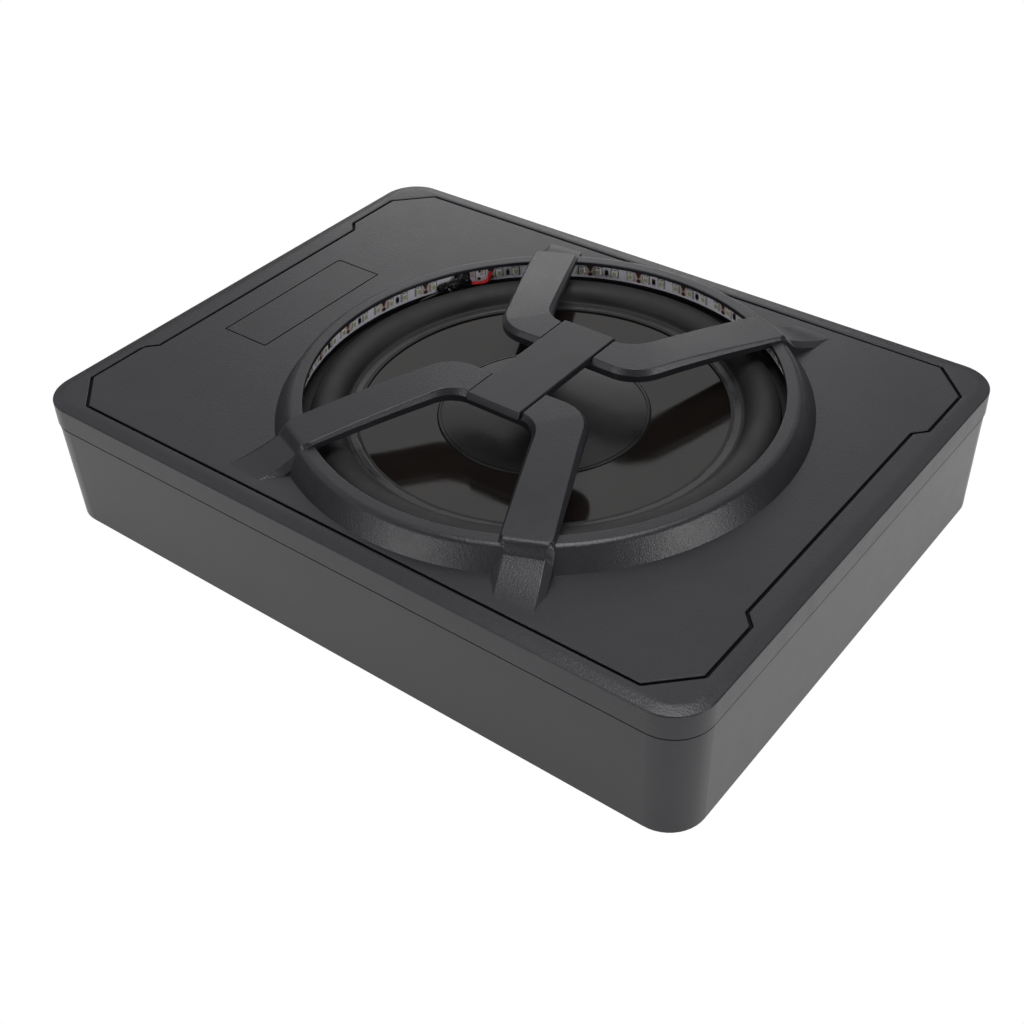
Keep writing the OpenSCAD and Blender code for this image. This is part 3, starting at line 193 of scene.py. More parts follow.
def moulded(name):
    """The cover's black plastic: a fine grain over a coarser one."""
    look = grained(name, (0.0122, 0.0122, 0.0158), 0.32, 0.365, 0.75, 0.1)
    look.bump(look.noise(1.6, 1.0, 0.4), 0.04)
    return look


def metal(name, base, rough_lo, rough_hi, streak=(1, 1, 1), size=1.2):
    """Bare or plated metal, with its finish drawn out along a streak."""
    look = Look(name, base, metallic=1.0)
    look.varied(0.08, 6.0)
    look.rough(look.remap(look.noise(size, 4.0, 0.6, streak), 0.3, 0.7, rough_lo, rough_hi))
    look.bump(look.noise(size * 0.3, 2.0, 0.5, streak), 0.004)
    return look


# ---- mesh helpers
def make(name, verts, faces, look, body="cabinet", replaces=(), slot=None, sharp=32.0, merge=0.002):
    """A piece from vertices in mm. Faces meeting at more than the sharp angle keep a crease."""
    mesh = bpy.data.meshes.new(name)
    mesh.from_pydata([tuple(c * MM for c in v) for v in verts], [], faces)
    bm = bmesh.new()
    bm.from_mesh(mesh)
    if merge:
        bmesh.ops.remove_doubles(bm, verts=bm.verts, dist=merge * MM)
    bmesh.ops.recalc_face_normals(bm, faces=bm.faces)
    bm.to_mesh(mesh)
    bm.free()
    mesh.materials.append(look.mat)
    obj = bpy.data.objects.new(name, mesh)
    bpy.context.scene.collection.objects.link(obj)
    finish_mesh(obj, sharp)
    if body:
        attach(obj, body)
    if replaces:
        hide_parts(*replaces)
    return obj


def finish_mesh(obj, sharp):
    """Smooth shading that keeps creases, with large faces winning over the small ones beside them."""
    obj.data.shade_smooth()
    obj.data.set_sharp_from_angle(angle=math.radians(sharp))
    weighted = obj.modifiers.new("normals", "WEIGHTED_NORMAL")
    weighted.mode = "FACE_AREA"
    weighted.keep_sharp = True
    bake(obj)


def bake(obj):
    """Applies the object's modifiers to its mesh."""
    bpy.context.view_layer.update()
    graph = bpy.context.evaluated_depsgraph_get()
    final = obj.evaluated_get(graph)
    mesh = bpy.data.meshes.new_from_object(final, preserve_all_data_layers=True, depsgraph=graph)
    old, obj.data = obj.data, mesh
    obj.modifiers.clear()
    bpy.data.meshes.remove(old)


def rounded(points, radii, steps=5, closed=True):
    """Rounds the corners of a 2D outline: one radius for each point, 0 keeps it sharp."""
    out = []
    n = len(points)
    for i, (p, r) in enumerate(zip(points, radii)):
        if r <= 0 or (not closed and i in (0, n - 1)):
            out.append(tuple(p))
            continue
        a = Vector(points[(i - 1) % n]) - Vector(p)
        b = Vector(points[(i + 1) % n]) - Vector(p)
        la, lb = a.length, b.length
        a, b = a / la, b / lb
        half = math.acos(max(-1, min(1, a.dot(b)))) / 2
        cut = min(r / math.tan(half), la * 0.49, lb * 0.49)
        radius = cut * math.tan(half)
        centre = Vector(p) + (a + b).normalized() * (radius / math.sin(half))
        start, end = Vector(p) + a * cut, Vector(p) + b * cut
        sa = math.atan2(start.y - centre.y, start.x - centre.x)
        ea = math.atan2(end.y - centre.y, end.x - centre.x)
        turn = (ea - sa + math.pi) % (2 * math.pi) - math.pi
        for k in range(steps + 1):
            t = sa + turn * k / steps
            out.append((centre.x + radius * math.cos(t), centre.y + radius * math.sin(t)))
    return out


def lathe(profile, n=240, x=WOOFER_X, closed=True, start=0.0, sweep=2 * math.pi):
    """Turns a profile of (radius, height) about the vertical line through x."""
    full = abs(sweep - 2 * math.pi) < 1e-9
    rings = n if full else n + 1
    m = len(profile)
    verts = [
        (x + r * math.cos(start + sweep * k / n), r * math.sin(start + sweep * k / n), z)
        for k in range(rings) for r, z in profile
    ]
    faces = []
    for k in range(n):
        a, b = k * m, ((k + 1) % rings) * m
        for i in range(m if closed else m - 1):
            j = (i + 1) % m
            faces.append((a + i, a + j, b + j, b + i))
    return verts, faces


def round_rect(inset, z, steps=14):
    """The cover's outline, drawn in by an inset, at a height."""
    r = max(CORNER_R - inset, 0.6)
    hx, hy = HALF_X - inset - r, HALF_Y - inset - r
    loop = []
    for q, (sx, sy) in enumerate(((1, 1), (-1, 1), (-1, -1), (1, -1))):
        for k in range(steps + 1):
            t = math.pi / 2 * (q + k / steps)
            loop.append((sx * hx + r * math.cos(t), sy * hy + r * math.sin(t), z))
    return loop


def stitch(loops, closed_loops=False):
    """Quads between loops that have the same number of points."""
    n = len(loops[0])
    verts = [v for loop in loops for v in loop]
    faces = []
    for a in range(len(loops) if closed_loops else len(loops) - 1):
        b = (a + 1) % len(loops)
        for k in range(n):
            j = (k + 1) % n
            faces.append((a * n + k, a * n + j, b * n + j, b * n + k))
    return verts, faces


def offset_polygon(points, d):
    """The closed polygon moved outwards by d, with mitred corners."""
    out = []
    n = len(points)
    for i in range(n):
        p0, p1, p2 = (Vector(points[(i + k - 1) % n]) for k in range(3))
        e1, e2 = (p1 - p0).normalized(), (p2 - p1).normalized()
        n1, n2 = Vector((e1.y, -e1.x)), Vector((e2.y, -e2.x))
        bis = (n1 + n2).normalized()
        out.append(tuple(p1 + bis * (d / bis.dot(n1))))
    return out


def flat_fill(loops, z):
    """Triangles that fill a flat area between closed loops (the first is the outside)."""
    bm = bmesh.new()
    edges = []
    for loop in loops:
        vs = [bm.verts.new((p[0], p[1], z)) for p in loop]
        edges += [bm.edges.new((vs[i], vs[(i + 1) % len(vs)])) for i in range(len(vs))]
    bmesh.ops.triangle_fill(bm, use_beauty=True, use_dissolve=False, edges=edges, normal=(0, 0, 1))
    bm.verts.index_update()
    verts = [tuple(v.co) for v in bm.verts]
    faces = [tuple(v.index for v in f.verts) for f in bm.faces]
    bm.free()
    return verts, faces


def capped(verts, faces, n):
    """The shape with its two ends closed, each end being a loop of n points."""
    return verts, faces + [tuple(range(n)), tuple(range(len(verts) - n, len(verts)))]


def joined(parts):
    """Several shapes as one."""
    verts, faces = [], []
    for v, f in parts:
        base = len(verts)
        verts += v
        faces += [tuple(i + base for i in q) for q in f]
    return verts, faces


# ---- looks of the nodes
cover_look = moulded("cover_plastic")
ring_look = moulded("ring_plastic")
ring_look.scuffs((WOOFER_X + RING_IN_R, 35.0, TOP + RING_H), 9.0)
plate_look = grained("plate_plastic", (0.0122, 0.0122, 0.0155), 0.36, 0.44, 0.5, 0.014)
# Near-black and low in sheen: painted shade for the grooves, the badge's line and the gap under the lip; it
# also colours the thin ring round the dust cap's edge.
groove_look = grained("groove_shade", (0.0035, 0.0035, 0.004), 0.6, 0.75, 0.6, 0.02, specular=0.12)
case_look = grained("case_paint", (0.012, 0.012, 0.0155), 0.31, 0.335, 1.6, 0.004, amount=0.05)
cone_look = layered("cone_gloss", (0.0085, 0.0066, 0.0058), (0.2, 40.0, 0.07, 0.12), (14.0, 2.0, 0.4), 0.03)
cap_look = layered("cap_gloss", (0.007, 0.007, 0.0075), (0.2, 30.0, 0.26, 0.34), (10.0, 2.0, 0.4), 0.02,
                   specular=0.33)
rubber_look = grained("surround_rubber", (0.0115, 0.0115, 0.012), 0.56, 0.68, 0.8, 0.01, specular=0.4)
strip_look = layered("strip_film", (0.8, 0.78, 0.86), (0.06, 5.0, 0.3, 0.42), (3.0, 2.0, 0.5), 0.02)
copper_look = layered("copper_pad", (0.1, 0.05, 0.035), (0.5, 0.9, 0.3, 0.5), (0.5, 3.0, 0.6), 0.05,
                      metallic=0.35)
solder_look = metal("solder", (0.72, 0.72, 0.73), 0.22, 0.4, size=0.6)
led_body_look = grained("led_body", (0.78, 0.77, 0.7), 0.3, 0.42, 0.6, 0.004, amount=0.06)
led_window_look = grained("led_window", (0.4, 0.39, 0.26), 0.2, 0.3, 0.5, 0.006, amount=0.2)
print_look = grained("strip_print", (0.05, 0.05, 0.055), 0.4, 0.5, 0.5, 0.004, amount=0.3)
bare_film_look = grained("strip_bare", (0.55, 0.42, 0.37), 0.3, 0.45, 0.7, 0.01, amount=0.15)
chip_look = grained("chip_black", (0.012, 0.012, 0.012), 0.3, 0.42, 0.8, 0.005)
wire_red_look = grained("wire_red", (0.62, 0.01, 0.012), 0.3, 0.38, 2.0, 0.005)
wire_black_look = grained("wire_black", (0.008, 0.008, 0.008), 0.2, 0.32, 2.0, 0.005)
sleeve_look = grained("sleeve", (0.009, 0.009, 0.01), 0.18, 0.34, 1.4, 0.12)

# One look for each CAD node that needs no more
simple = {
    "case": case_look,
    "top_cover": cover_look,
    "centre_plate": plate_look,
    "seal_gasket": grained("foam", (0.03, 0.03, 0.03), 0.8, 0.95, 0.6, 0.1),
    "rubber_feet": grained("foot_rubber", (0.014, 0.014, 0.014), 0.6, 0.75, 0.5, 0.03),
    "cover_screws": metal("zinc", (0.55, 0.55, 0.56), 0.25, 0.4),
    "bracket_bushings": metal("brass", (0.62, 0.45, 0.19), 0.25, 0.4),
    "light_strip": strip_look,
    "led_chips": led_body_look,
    "led_resistors": chip_look,
    "strip_pads": copper_look,
    "strip_lead_red": wire_red_look,
    "strip_lead_black": wire_black_look,
    "strip_sleeve": sleeve_look,
    "woofer_gasket": grained("gasket_foam", (0.013, 0.013, 0.013), 0.7, 0.85, 0.5, 0.05),
    "basket": grained("frame_paint", (0.025, 0.025, 0.028), 0.4, 0.5, 0.8, 0.02),
    "woofer_screws": metal("zinc_small", (0.5, 0.5, 0.52), 0.3, 0.45),
    "front_plate": metal("iron", (0.42, 0.42, 0.44), 0.3, 0.45),
    "magnet": grained("ferrite", (0.06, 0.06, 0.062), 0.55, 0.7, 0.9, 0.02),
    "back_plate": metal("iron_back", (0.42, 0.42, 0.44), 0.3, 0.45),
    "surround": rubber_look,
    "spider": grained("spider_cloth", (0.34, 0.2, 0.06), 0.7, 0.85, 0.7, 0.08),
    "cone": cone_look,
    "dust_cap": cap_look,
    "coil_former": grained("former_film", (0.42, 0.28, 0.12), 0.5, 0.65, 0.6, 0.02),
    "voice_coil": metal("copper_wire", (0.72, 0.3, 0.14), 0.3, 0.42, (1, 1, 12), 0.6),
    "terminal_strip": grained("fibre_board", (0.12, 0.07, 0.03), 0.6, 0.75, 0.8, 0.02),
    "terminal_tags": metal("tinned_tags", (0.6, 0.6, 0.6), 0.3, 0.4),
    "speaker_wire_red": grained("lead_red", (0.45, 0.012, 0.012), 0.35, 0.45, 2.0, 0.005),
    "speaker_wire_black": grained("lead_black", (0.01, 0.01, 0.01), 0.35, 0.45, 2.0, 0.005),
    "amp_board": grained("solder_mask", (0.02, 0.12, 0.05), 0.3, 0.42, 3.0, 0.02),
    "board_screws": metal("zinc_board", (0.55, 0.55, 0.56), 0.3, 0.42),
    "heatsink": metal("aluminium", (0.62, 0.63, 0.64), 0.3, 0.42, (1, 1, 20), 0.6),
    "power_transistors": grained("transistor_black", (0.015, 0.015, 0.016), 0.45, 0.55, 0.8, 0.01),
    "toroid_core": grained("ferrite_core", (0.04, 0.09, 0.05), 0.5, 0.6, 1.0, 0.02),
    "toroid_winding": metal("winding", (0.7, 0.28, 0.12), 0.25, 0.38),
    "capacitors": grained("capacitor_sleeve", (0.02, 0.02, 0.035), 0.3, 0.4, 2.0, 0.01),
    "control_panel": grained("panel_plastic", (0.022, 0.022, 0.023), 0.5, 0.62, 0.6, 0.03),
    "panel_screws": metal("panel_zinc", (0.4, 0.4, 0.41), 0.28, 0.4),
    "pot_bodies": metal("pot_steel", (0.5, 0.5, 0.5), 0.3, 0.45),
    "gain_knob": grained("knob_black_1", (0.02, 0.02, 0.021), 0.42, 0.55, 0.5, 0.02),
    "crossover_knob": grained("knob_black_2", (0.02, 0.02, 0.021), 0.42, 0.55, 0.5, 0.02),
    "boost_knob": grained("knob_black_3", (0.02, 0.02, 0.021), 0.42, 0.55, 0.5, 0.02),
    "phase_housing": metal("switch_steel", (0.5, 0.5, 0.51), 0.3, 0.42),
    "phase_slider": grained("slider_black", (0.018, 0.018, 0.018), 0.45, 0.55, 0.6, 0.02),
    "phono_body": grained("phono_black", (0.016, 0.016, 0.017), 0.45, 0.55, 0.7, 0.02),
    "phono_shells": metal("phono_gold", (0.78, 0.55, 0.2), 0.2, 0.3),
    "phono_contacts": grained("phono_core", (0.62, 0.58, 0.5), 0.4, 0.5, 1.0, 0.01),
    "power_socket": grained("nylon_cream", (0.62, 0.58, 0.46), 0.45, 0.58, 1.0, 0.015),
    "power_pins": metal("pins_tin", (0.7, 0.7, 0.71), 0.25, 0.36),
    "input_socket": grained("nylon_pale", (0.66, 0.62, 0.5), 0.45, 0.58, 1.0, 0.015),
    "input_pins": metal("pins_small", (0.7, 0.7, 0.71), 0.25, 0.36),
    "fuse_holder": grained("holder_black", (0.018, 0.018, 0.019), 0.45, 0.56, 0.8, 0.02),
    "fuse_body": grained("fuse_blue", (0.03, 0.14, 0.55), 0.2, 0.3, 2.0, 0.004),
    "fuse_blades": metal("fuse_tin", (0.68, 0.68, 0.69), 0.26, 0.38),
    "remote_jack": grained("jack_black", (0.02, 0.02, 0.022), 0.42, 0.54, 0.8, 0.015),
    "power_lamp": grained("lamp_red", (0.42, 0.03, 0.025), 0.15, 0.25, 2.0, 0.004),
}
for name, look in simple.items():
    mesh = nodes[name].data
    mesh.materials.clear()
    mesh.materials.append(look.mat)


# ---- cover: rim, groove, panel
def mirrored(quarter):
    """A closed outline from its part in the first quadrant, running anticlockwise."""
    right_side = [(x, -y) for x, y in quarter] + list(reversed(quarter))
    return right_side + [(-x, -y) for x, y in right_side]


def at_height(points, z):
    """Flat points, lifted to a height."""
    return [(x, y, z) for x, y in points]


def circle(r, z, n=240, x=WOOFER_X):
    """A loop about the vertical line through x."""
    return [(x + r * math.cos(2 * math.pi * k / n), r * math.sin(2 * math.pi * k / n), z) for k in range(n)]


def rim_parts():
    """The lip's inside, its rounded foot, the side, the edge and the sloped rim."""
    slope = RIM_DROP / RIM_W
    edge_z, reach, foot_z = TOP - RIM_DROP, 1.1, CASE_TOP + SEAM
    edge = [(0.0, edge_z - reach), (0.0, edge_z), (reach, edge_z + reach * slope)]
    profile = [
        (LIP_T, TOP - PANEL_T), (LIP_T, foot_z), (0.3, foot_z), (0.08, foot_z + 0.08), (0.0, foot_z + 0.3),
        *rounded(edge, [0, RIM_EDGE_R, 0], 6, closed=False),
        (RIM_W - 0.9, TOP - 0.9 * slope - 0.02), (RIM_W, TOP - 0.07), (RIM_W + RIM_FADE, TOP),
    ]
    return stitch([round_rect(inset, z) for inset, z in profile])


def groove_parts(path):
    """The groove's walls and bottom."""
    half, low = GROOVE_W / 2, TOP - GROOVE_LEAD
    profile = [(half, low), (half, TOP - GROOVE_D), (-half, TOP - GROOVE_D), (-half, low)]
    return stitch([at_height(offset_polygon(path, d), z) for d, z in profile])


def groove_edge(path):
    """The groove's two edges, rounded over into the panel."""
    half, low = GROOVE_W / 2, TOP - GROOVE_LEAD
    inner = [(-half, low), (-half - 0.1, TOP - 0.1), (-half - GROOVE_IN_LEAD, TOP)]
    outer = [(half + GROOVE_LEAD, TOP), (half + 0.12, TOP - 0.12), (half, low)]
    sides = ([at_height(offset_polygon(path, d), z) for d, z in side] for side in (inner, outer))
    return joined([stitch(side) for side in sides])


def badge_loop(inset):
    """The outline of the badge's frame, with one corner slightly clipped."""
    x0, x1 = BADGE_X - BADGE_L / 2 + inset, BADGE_X + BADGE_L / 2 - inset
    y0, y1 = -BADGE_W / 2 + inset, BADGE_W / 2 - inset
    return [(x0, y0), (x1, y0), (x1, y1), (x0 + BADGE_CLIP, y1), (x0, y1 - BADGE_CLIP)]


def badge_parts():
    """The line sunk round the badge."""
    line, lean = BADGE_LINE, 0.08
    profile = [(0.0, TOP), (lean, TOP - BADGE_D), (line - lean, TOP - BADGE_D), (line, TOP)]
    return stitch([at_height(badge_loop(i), z) for i, z in profile])


def panel_parts(path):
    """The panel's flat areas: outside the groove, inside it, within the badge's line and underneath."""
    outer = offset_polygon(path, GROOVE_W / 2 + GROOVE_LEAD)
    inner = offset_polygon(path, -GROOVE_W / 2 - GROOVE_IN_LEAD)
    return [
        flat_fill([round_rect(RIM_W + RIM_FADE, TOP), outer], TOP),
        flat_fill([inner, circle(RING_BASE_R + RING_FLAT, TOP), badge_loop(0)], TOP),
        flat_fill([badge_loop(BADGE_LINE)], TOP),
        flat_fill([round_rect(LIP_T, 0), circle(COLLAR_R + COLLAR_T, 0)], TOP - PANEL_T),
    ]


def ring_profile():
    """The ring and the collar under it: each corner's radius, height and rounding."""
    crest, lip, under, low = TOP + RING_H, TOP + RING_H - LIP_FACE, TOP - PANEL_T, TOP - COLLAR_D
    corners = [
        (COLLAR_R, low, 0), (RING_WALL_R, lip, 0.3), (RING_IN_R, lip, 0.3), (RING_IN_R, crest, 0.5),
        (RING_CREST_R, crest, RING_ROUND), (RING_BASE_R, TOP, 0), (RING_BASE_R + RING_FLAT, TOP, 0),
        (RING_BASE_R + RING_FLAT, under, 0), (COLLAR_R + COLLAR_T, under, 0), (COLLAR_R + COLLAR_T, low, 0),
    ]
    return rounded([c[:2] for c in corners], [c[2] for c in corners], 8)


groove_path = rounded(mirrored(GROOVE_QUARTER), [GROOVE_CORNER_R] * (4 * len(GROOVE_QUARTER)), 4)
cover_parts = joined([rim_parts(), groove_edge(groove_path)] + panel_parts(groove_path))
make("cover_shell", *cover_parts, cover_look, sharp=50, replaces=("top_cover",), slot="cover_plastic")
# The groove's walls and bottom and the badge's sunk line take the near-black groove look: painted shade in
# these recesses.
make("groove_painted_shade", *joined([groove_parts(groove_path), badge_parts()]), groove_look, sharp=50,
     replaces=("top_cover",), slot="cover_plastic")
# A near-black band set in the gap under the cover's lip: painted shadow in that gap.
seam_top = CASE_TOP + SEAM + 0.2
seam_profile = ((0.25, CASE_TOP), (0.25, seam_top), (1.6, seam_top), (1.6, CASE_TOP))
seam = [round_rect(inset, z) for inset, z in seam_profile]
make("seam_shadow_band", *stitch(seam, True), groove_look, replaces=("top_cover",), slot="cover_plastic")
ring = lathe(ring_profile(), 300)
make("cover_ring", *ring, ring_look, sharp=50, replaces=("top_cover",), slot="cover_plastic")


# ---- cover: the grille's arms
def slant(t, s):
    """A point on the slanted part: t across from the woofer axis, s along the arm."""
    c, k = math.cos(ARM_ANGLE), math.sin(ARM_ANGLE)
    return Vector((t * c + s * k, s * c - t * k))


def corner_x(t, y):
    """X on the slanted part's line at t, at a distance y from the middle."""
    return (t + y * math.sin(ARM_ANGLE)) / math.cos(ARM_ANGLE)


def bend_point(y, t, r, f):
    """A point of an edge's bend, from the straight part (f is 0) to the slanted one (f is 1)."""
    turn_by = math.pi / 2 - ARM_ANGLE
    x = corner_x(t, y) - r * math.tan(turn_by / 2) + r * math.sin(turn_by * f)
    return Vector((x, y + r - r * math.cos(turn_by * f)))


def fallen(s):
    """How far the arm has come down from its full height: 0 to 1."""
    return max(0.0, s - ARM_FALL_S) / (ARM_CREST_S - ARM_FALL_S)


def arm_height(s):
    """The arm's top over the panel: level, then falling in a slight bow."""
    f = fallen(s)
    return ARM_H - (ARM_H - ARM_CREST_H) * f + 4 * ARM_BOW * f * (1 - f)


def bevel(s):
    """Width and height of the arm's bevel."""
    return BEVEL_W * (1 - BEVEL_THIN * fallen(s)), BEVEL_END_H + (BEVEL_H - BEVEL_END_H) * (1 - fallen(s))


def arm_station(a, b, s):
    """A station of the arm before its crest, from its two edges."""
    h = arm_height(s)
    return a, b, h, h - ARM_T - (ARM_END_T - ARM_T) * fallen(s), *bevel(s)


def arm_stations():
    """From the seat under the plate to the foot's end: both edges, top, bottom, bevel's width and height."""
    seat_x = PLATE_L / 2 + PLATE_BEVEL + PLATE_GAP
    near, far, step = Vector((seat_x, ARM_NEAR_Y)), Vector((seat_x, ARM_FAR_Y)), Vector((0.05, 0))
    out = [
        (near - step, far - step, PLATE_H - PLATE_T, ARM_H - ARM_T, 0.4, 0.4),
        (near, far, ARM_H - 0.25, ARM_H - ARM_T, BEVEL_W, BEVEL_H),
        (near + 5 * step, far + 5 * step, ARM_H, ARM_H - ARM_T, BEVEL_W, BEVEL_H),
    ]
    bends, runs, narrows = 18, 12, 5
    for i in range(bends + 1):
        a = bend_point(ARM_NEAR_Y, ARM_OUTER_T, BEND_OUTER_R, i / bends)
        b = bend_point(ARM_FAR_Y, ARM_INNER_T, BEND_INNER_R, i / bends)
        b.x = max(b.x, seat_x + 0.3 + 0.02 * i)
        middle = (a + b) / 2
        start = middle.x * math.sin(ARM_ANGLE) + middle.y * math.cos(ARM_ANGLE)
        out.append(arm_station(a, b, start))
    end = ARM_CREST_S - CREST_HALF
    for i in range(1, runs):
        s = start + (end - start) * i / runs
        out.append(arm_station(slant(ARM_OUTER_T, s), slant(ARM_INNER_T, s), s))
    w, e = bevel(end)
    for k in range(1, narrows + 1):
        s = end - CREST_RUN * (1 - k / narrows)
        h, narrow = arm_height(s), 1 - math.sqrt(1 - (k / narrows) ** 2)
        a, b = slant(ARM_OUTER_T, s), slant(ARM_INNER_T, s)
        out.append((a, b, h, h - ARM_END_T, w + narrow, e + 0.35 * narrow))
    return out + crest_stations(w + 1.0) + foot_stations()


def foot_height(d):
    """Height of the foot at a distance past the crest."""
    if d < BROW:
        return KNEE_H + 1.35 * (BROW - d) - 0.04 * (BROW - d) ** 2
    return KNEE_H * ((FOOT_LEN - d) / (FOOT_LEN - BROW)) ** 2.1


def crest_stations(bevel_w):
    """The crest, rounded over from the arm to the foot."""
    before, after = arm_height(ARM_CREST_S - CREST_HALF), foot_height(CREST_HALF)
    out = []
    for i in range(1, 6):
        u = i / 6
        s = ARM_CREST_S + CREST_HALF * (2 * u - 1)
        peak = (1 - u) ** 2 * before + 2 * u * (1 - u) * (ARM_CREST_H + 0.1) + u * u * after
        grow = max(0.0, min(1.0, (u - 0.5) * 3))
        a, b = slant(ARM_OUTER_T + FOOT_FLARE * grow, s), slant(ARM_INNER_T - FOOT_FLARE * grow, s)
        bottom = FOOT_SINK if u > 0.4 else ARM_CREST_H - ARM_END_T
        w = bevel_w + (FOOT_BEVEL_W - bevel_w) * grow
        out.append((a, b, peak, bottom, w, FOOT_BEVEL_H + 0.5 * (grow - 1)))
    return out


def foot_stations(steps=24):
    """The hollow foot, running out into the panel."""
    sides = (ARM_OUTER_T + FOOT_FLARE, ARM_INNER_T - FOOT_FLARE)
    starts = [slant(t, ARM_CREST_S) for t in sides]
    ends = [Vector((corner_x(t, FOOT_END_Y), FOOT_END_Y)) for t in sides]
    first = CREST_HALF / FOOT_LEN
    out = []
    for i in range(steps + 1):
        f = first + (1 - first) * (i / steps) ** 1.5
        a, b = (start.lerp(end, f) for start, end in zip(starts, ends))
        h = foot_height(FOOT_LEN * f) - 0.25 * f * f
        out.append((a, b, h, FOOT_SINK, FOOT_BEVEL_W, FOOT_BEVEL_H - 0.4 * f))
    return out


def arm_section(station):
    """The arm's outline at a station, as points in mm."""
    a, b, h, z, w, e = station
    length = (b - a).length
    across = (b - a) / length
    outline = [(0, z), (0, h - e), (w, h), (length - w, h), (length, h - e), (length, z)]
    return [(*(a + across * u), TOP + v) for u, v in rounded(outline, ARM_ROUNDS, 3)]


def arm_bar():
    """Two arms joined under the centre plate, as one bar."""
    half = arm_stations()
    loops = [[(-x, y, z) for x, y, z in arm_section(st)] for st in reversed(half)]
    loops += [arm_section(st) for st in half]
    verts, faces = capped(*stitch(loops), len(loops[0]))
    return [(WOOFER_X + x, y, z) for x, y, z in verts], faces


bar_verts, bar_faces = arm_bar()
for side, label in ((1, "back"), (-1, "front")):
    bar = [(x, side * y, z) for x, y, z in bar_verts]
    make("grille_bar_" + label, bar, bar_faces, cover_look, sharp=38, replaces=("top_cover",),
         slot="cover_plastic")


# ---- centre plate
def plate_parts():
    """The plate, from loops at half sizes along X and Y and at a height."""
    base = TOP + PLATE_H - PLATE_T
    hx, hy = PLATE_L / 2, PLATE_W / 2
    steep = PLATE_END / (PLATE_T - 0.4)
    levels = [
        (hx + PLATE_BEVEL, hy + PLATE_END, 0.0), (hx + PLATE_BEVEL, hy + PLATE_END, 0.4),
        (hx + PLATE_BEVEL, hy + PLATE_BEVEL * steep + 0.1, PLATE_T - 0.75),
        (hx + 0.42, hy + 0.42 * steep, PLATE_T - 0.28), (hx + 0.18, hy + 0.1, PLATE_T - 0.06),
        (hx - 0.25, hy - 0.3, PLATE_T),
    ]
    loops = []
    for x, y, z in levels:
        outline = rounded([(x, y), (-x, y), (-x, -y), (x, -y)], [PLATE_CORNER_R] * 4, 3)
        loops.append(at_height(outline, base + z))
    verts, faces = capped(*stitch(loops), len(loops[0]))
    return [(WOOFER_X + x, y, z) for x, y, z in verts], faces


make("plate_face", *plate_parts(), plate_look, sharp=30, replaces=("centre_plate",), slot="plate_plastic")


# ---- light strip
STRIP_MID = STRIP_Z + STRIP_W / 2
STRIP_TILT = math.atan2(COLLAR_R - RING_WALL_R, RING_H - LIP_FACE + COLLAR_D)


def wall_r(z):
    """Radius of the ring's wall, which leans, at a height over the panel."""
    return COLLAR_R + (RING_WALL_R - COLLAR_R) * (z + COLLAR_D) / (RING_H - LIP_FACE + COLLAR_D)


STRIP_FACE_R = wall_r(STRIP_MID) - GLUE - STRIP_T


def on_strip(steps, x, y, out):
    """A point on the strip, a number of light steps round it: x along it, y up it, out from its face."""
    a = math.radians(LED_FROM - steps * LED_STEP) - x / STRIP_FACE_R
    r = STRIP_FACE_R - y * math.sin(STRIP_TILT) - out * math.cos(STRIP_TILT)
    z = TOP + STRIP_MID + y * math.cos(STRIP_TILT) - out * math.sin(STRIP_TILT)
    return (WOOFER_X + r * math.cos(a), r * math.sin(a), z)


def slab(steps, outline, low, high, taper=0.0):
    """A closed slab on the strip from its outline; the taper draws its outer face in."""
    n = len(outline)
    cx, cy = sum(p[0] for p in outline) / n, sum(p[1] for p in outline) / n
    verts = [on_strip(steps, x, y, low) for x, y in outline]
    keep = 1 - taper
    verts += [on_strip(steps, cx + (x - cx) * keep, cy + (y - cy) * keep, high) for x, y in outline]
    return capped(verts, [(k, (k + 1) % n, n + (k + 1) % n, n + k) for k in range(n)], n)


def block(x0, x1, y0, y1):
    """A rectangle on the strip."""
    return [(x0, y0), (x1, y0), (x1, y1), (x0, y1)]


def dot(x, y, r, n=20):
    """A circle on the strip."""
    return [(x + r * math.cos(2 * math.pi * k / n), y + r * math.sin(2 * math.pi * k / n)) for k in range(n)]


def band(z0, z1):
    """The strip itself, as a thin band open at the wires."""
    places = ((z0, GLUE), (z1, GLUE), (z1, GLUE + STRIP_T), (z0, GLUE + STRIP_T))
    profile = [(wall_r(z) - off, TOP + z) for z, off in places]
    start = math.radians(STRIP_GAP_AT + STRIP_GAP / 2)
    return capped(*lathe(profile, 360, start=start, sweep=math.radians(360 - STRIP_GAP)), 4)


# What sits on the strip, by light steps round it; blocks in mm along the strip and up it
led_at = [i + 0.5 for i in range(LED_COUNT)]
pad_at = range(0, LED_COUNT + 1, 3)
resistor_at = [i + 1 for i in range(0, LED_COUNT - 2, 3)]
half_l, half_w = LED_L / 2, LED_W / 2
print_x, print_y, line = 1.86, 2.35, 0.34
INK = (-0.03, 0.03)
brackets = [block(sx * print_x - line / 2, sx * print_x + line / 2, -print_y, print_y) for sx in (-1, 1)]
brackets += [block(min(sx * 1.0, sx * print_x), max(sx * 1.0, sx * print_x), sy * print_y - line / 2,
                   sy * print_y + line / 2) for sx in (-1, 1) for sy in (-1, 1)]
led_case = rounded(block(-half_l, half_l, -half_w, half_w), [0.25] * 4, 2)
led_window = rounded(block(-half_l + 0.45, half_l - 0.45, -half_w + 0.6, half_w - 0.6), [0.3] * 4, 3)
wedge = [(-0.5, -0.4), (0.5, -0.4), (0.75, 1.0), (2.0, 2.9), (-2.0, 2.9), (-0.75, 1.0)]
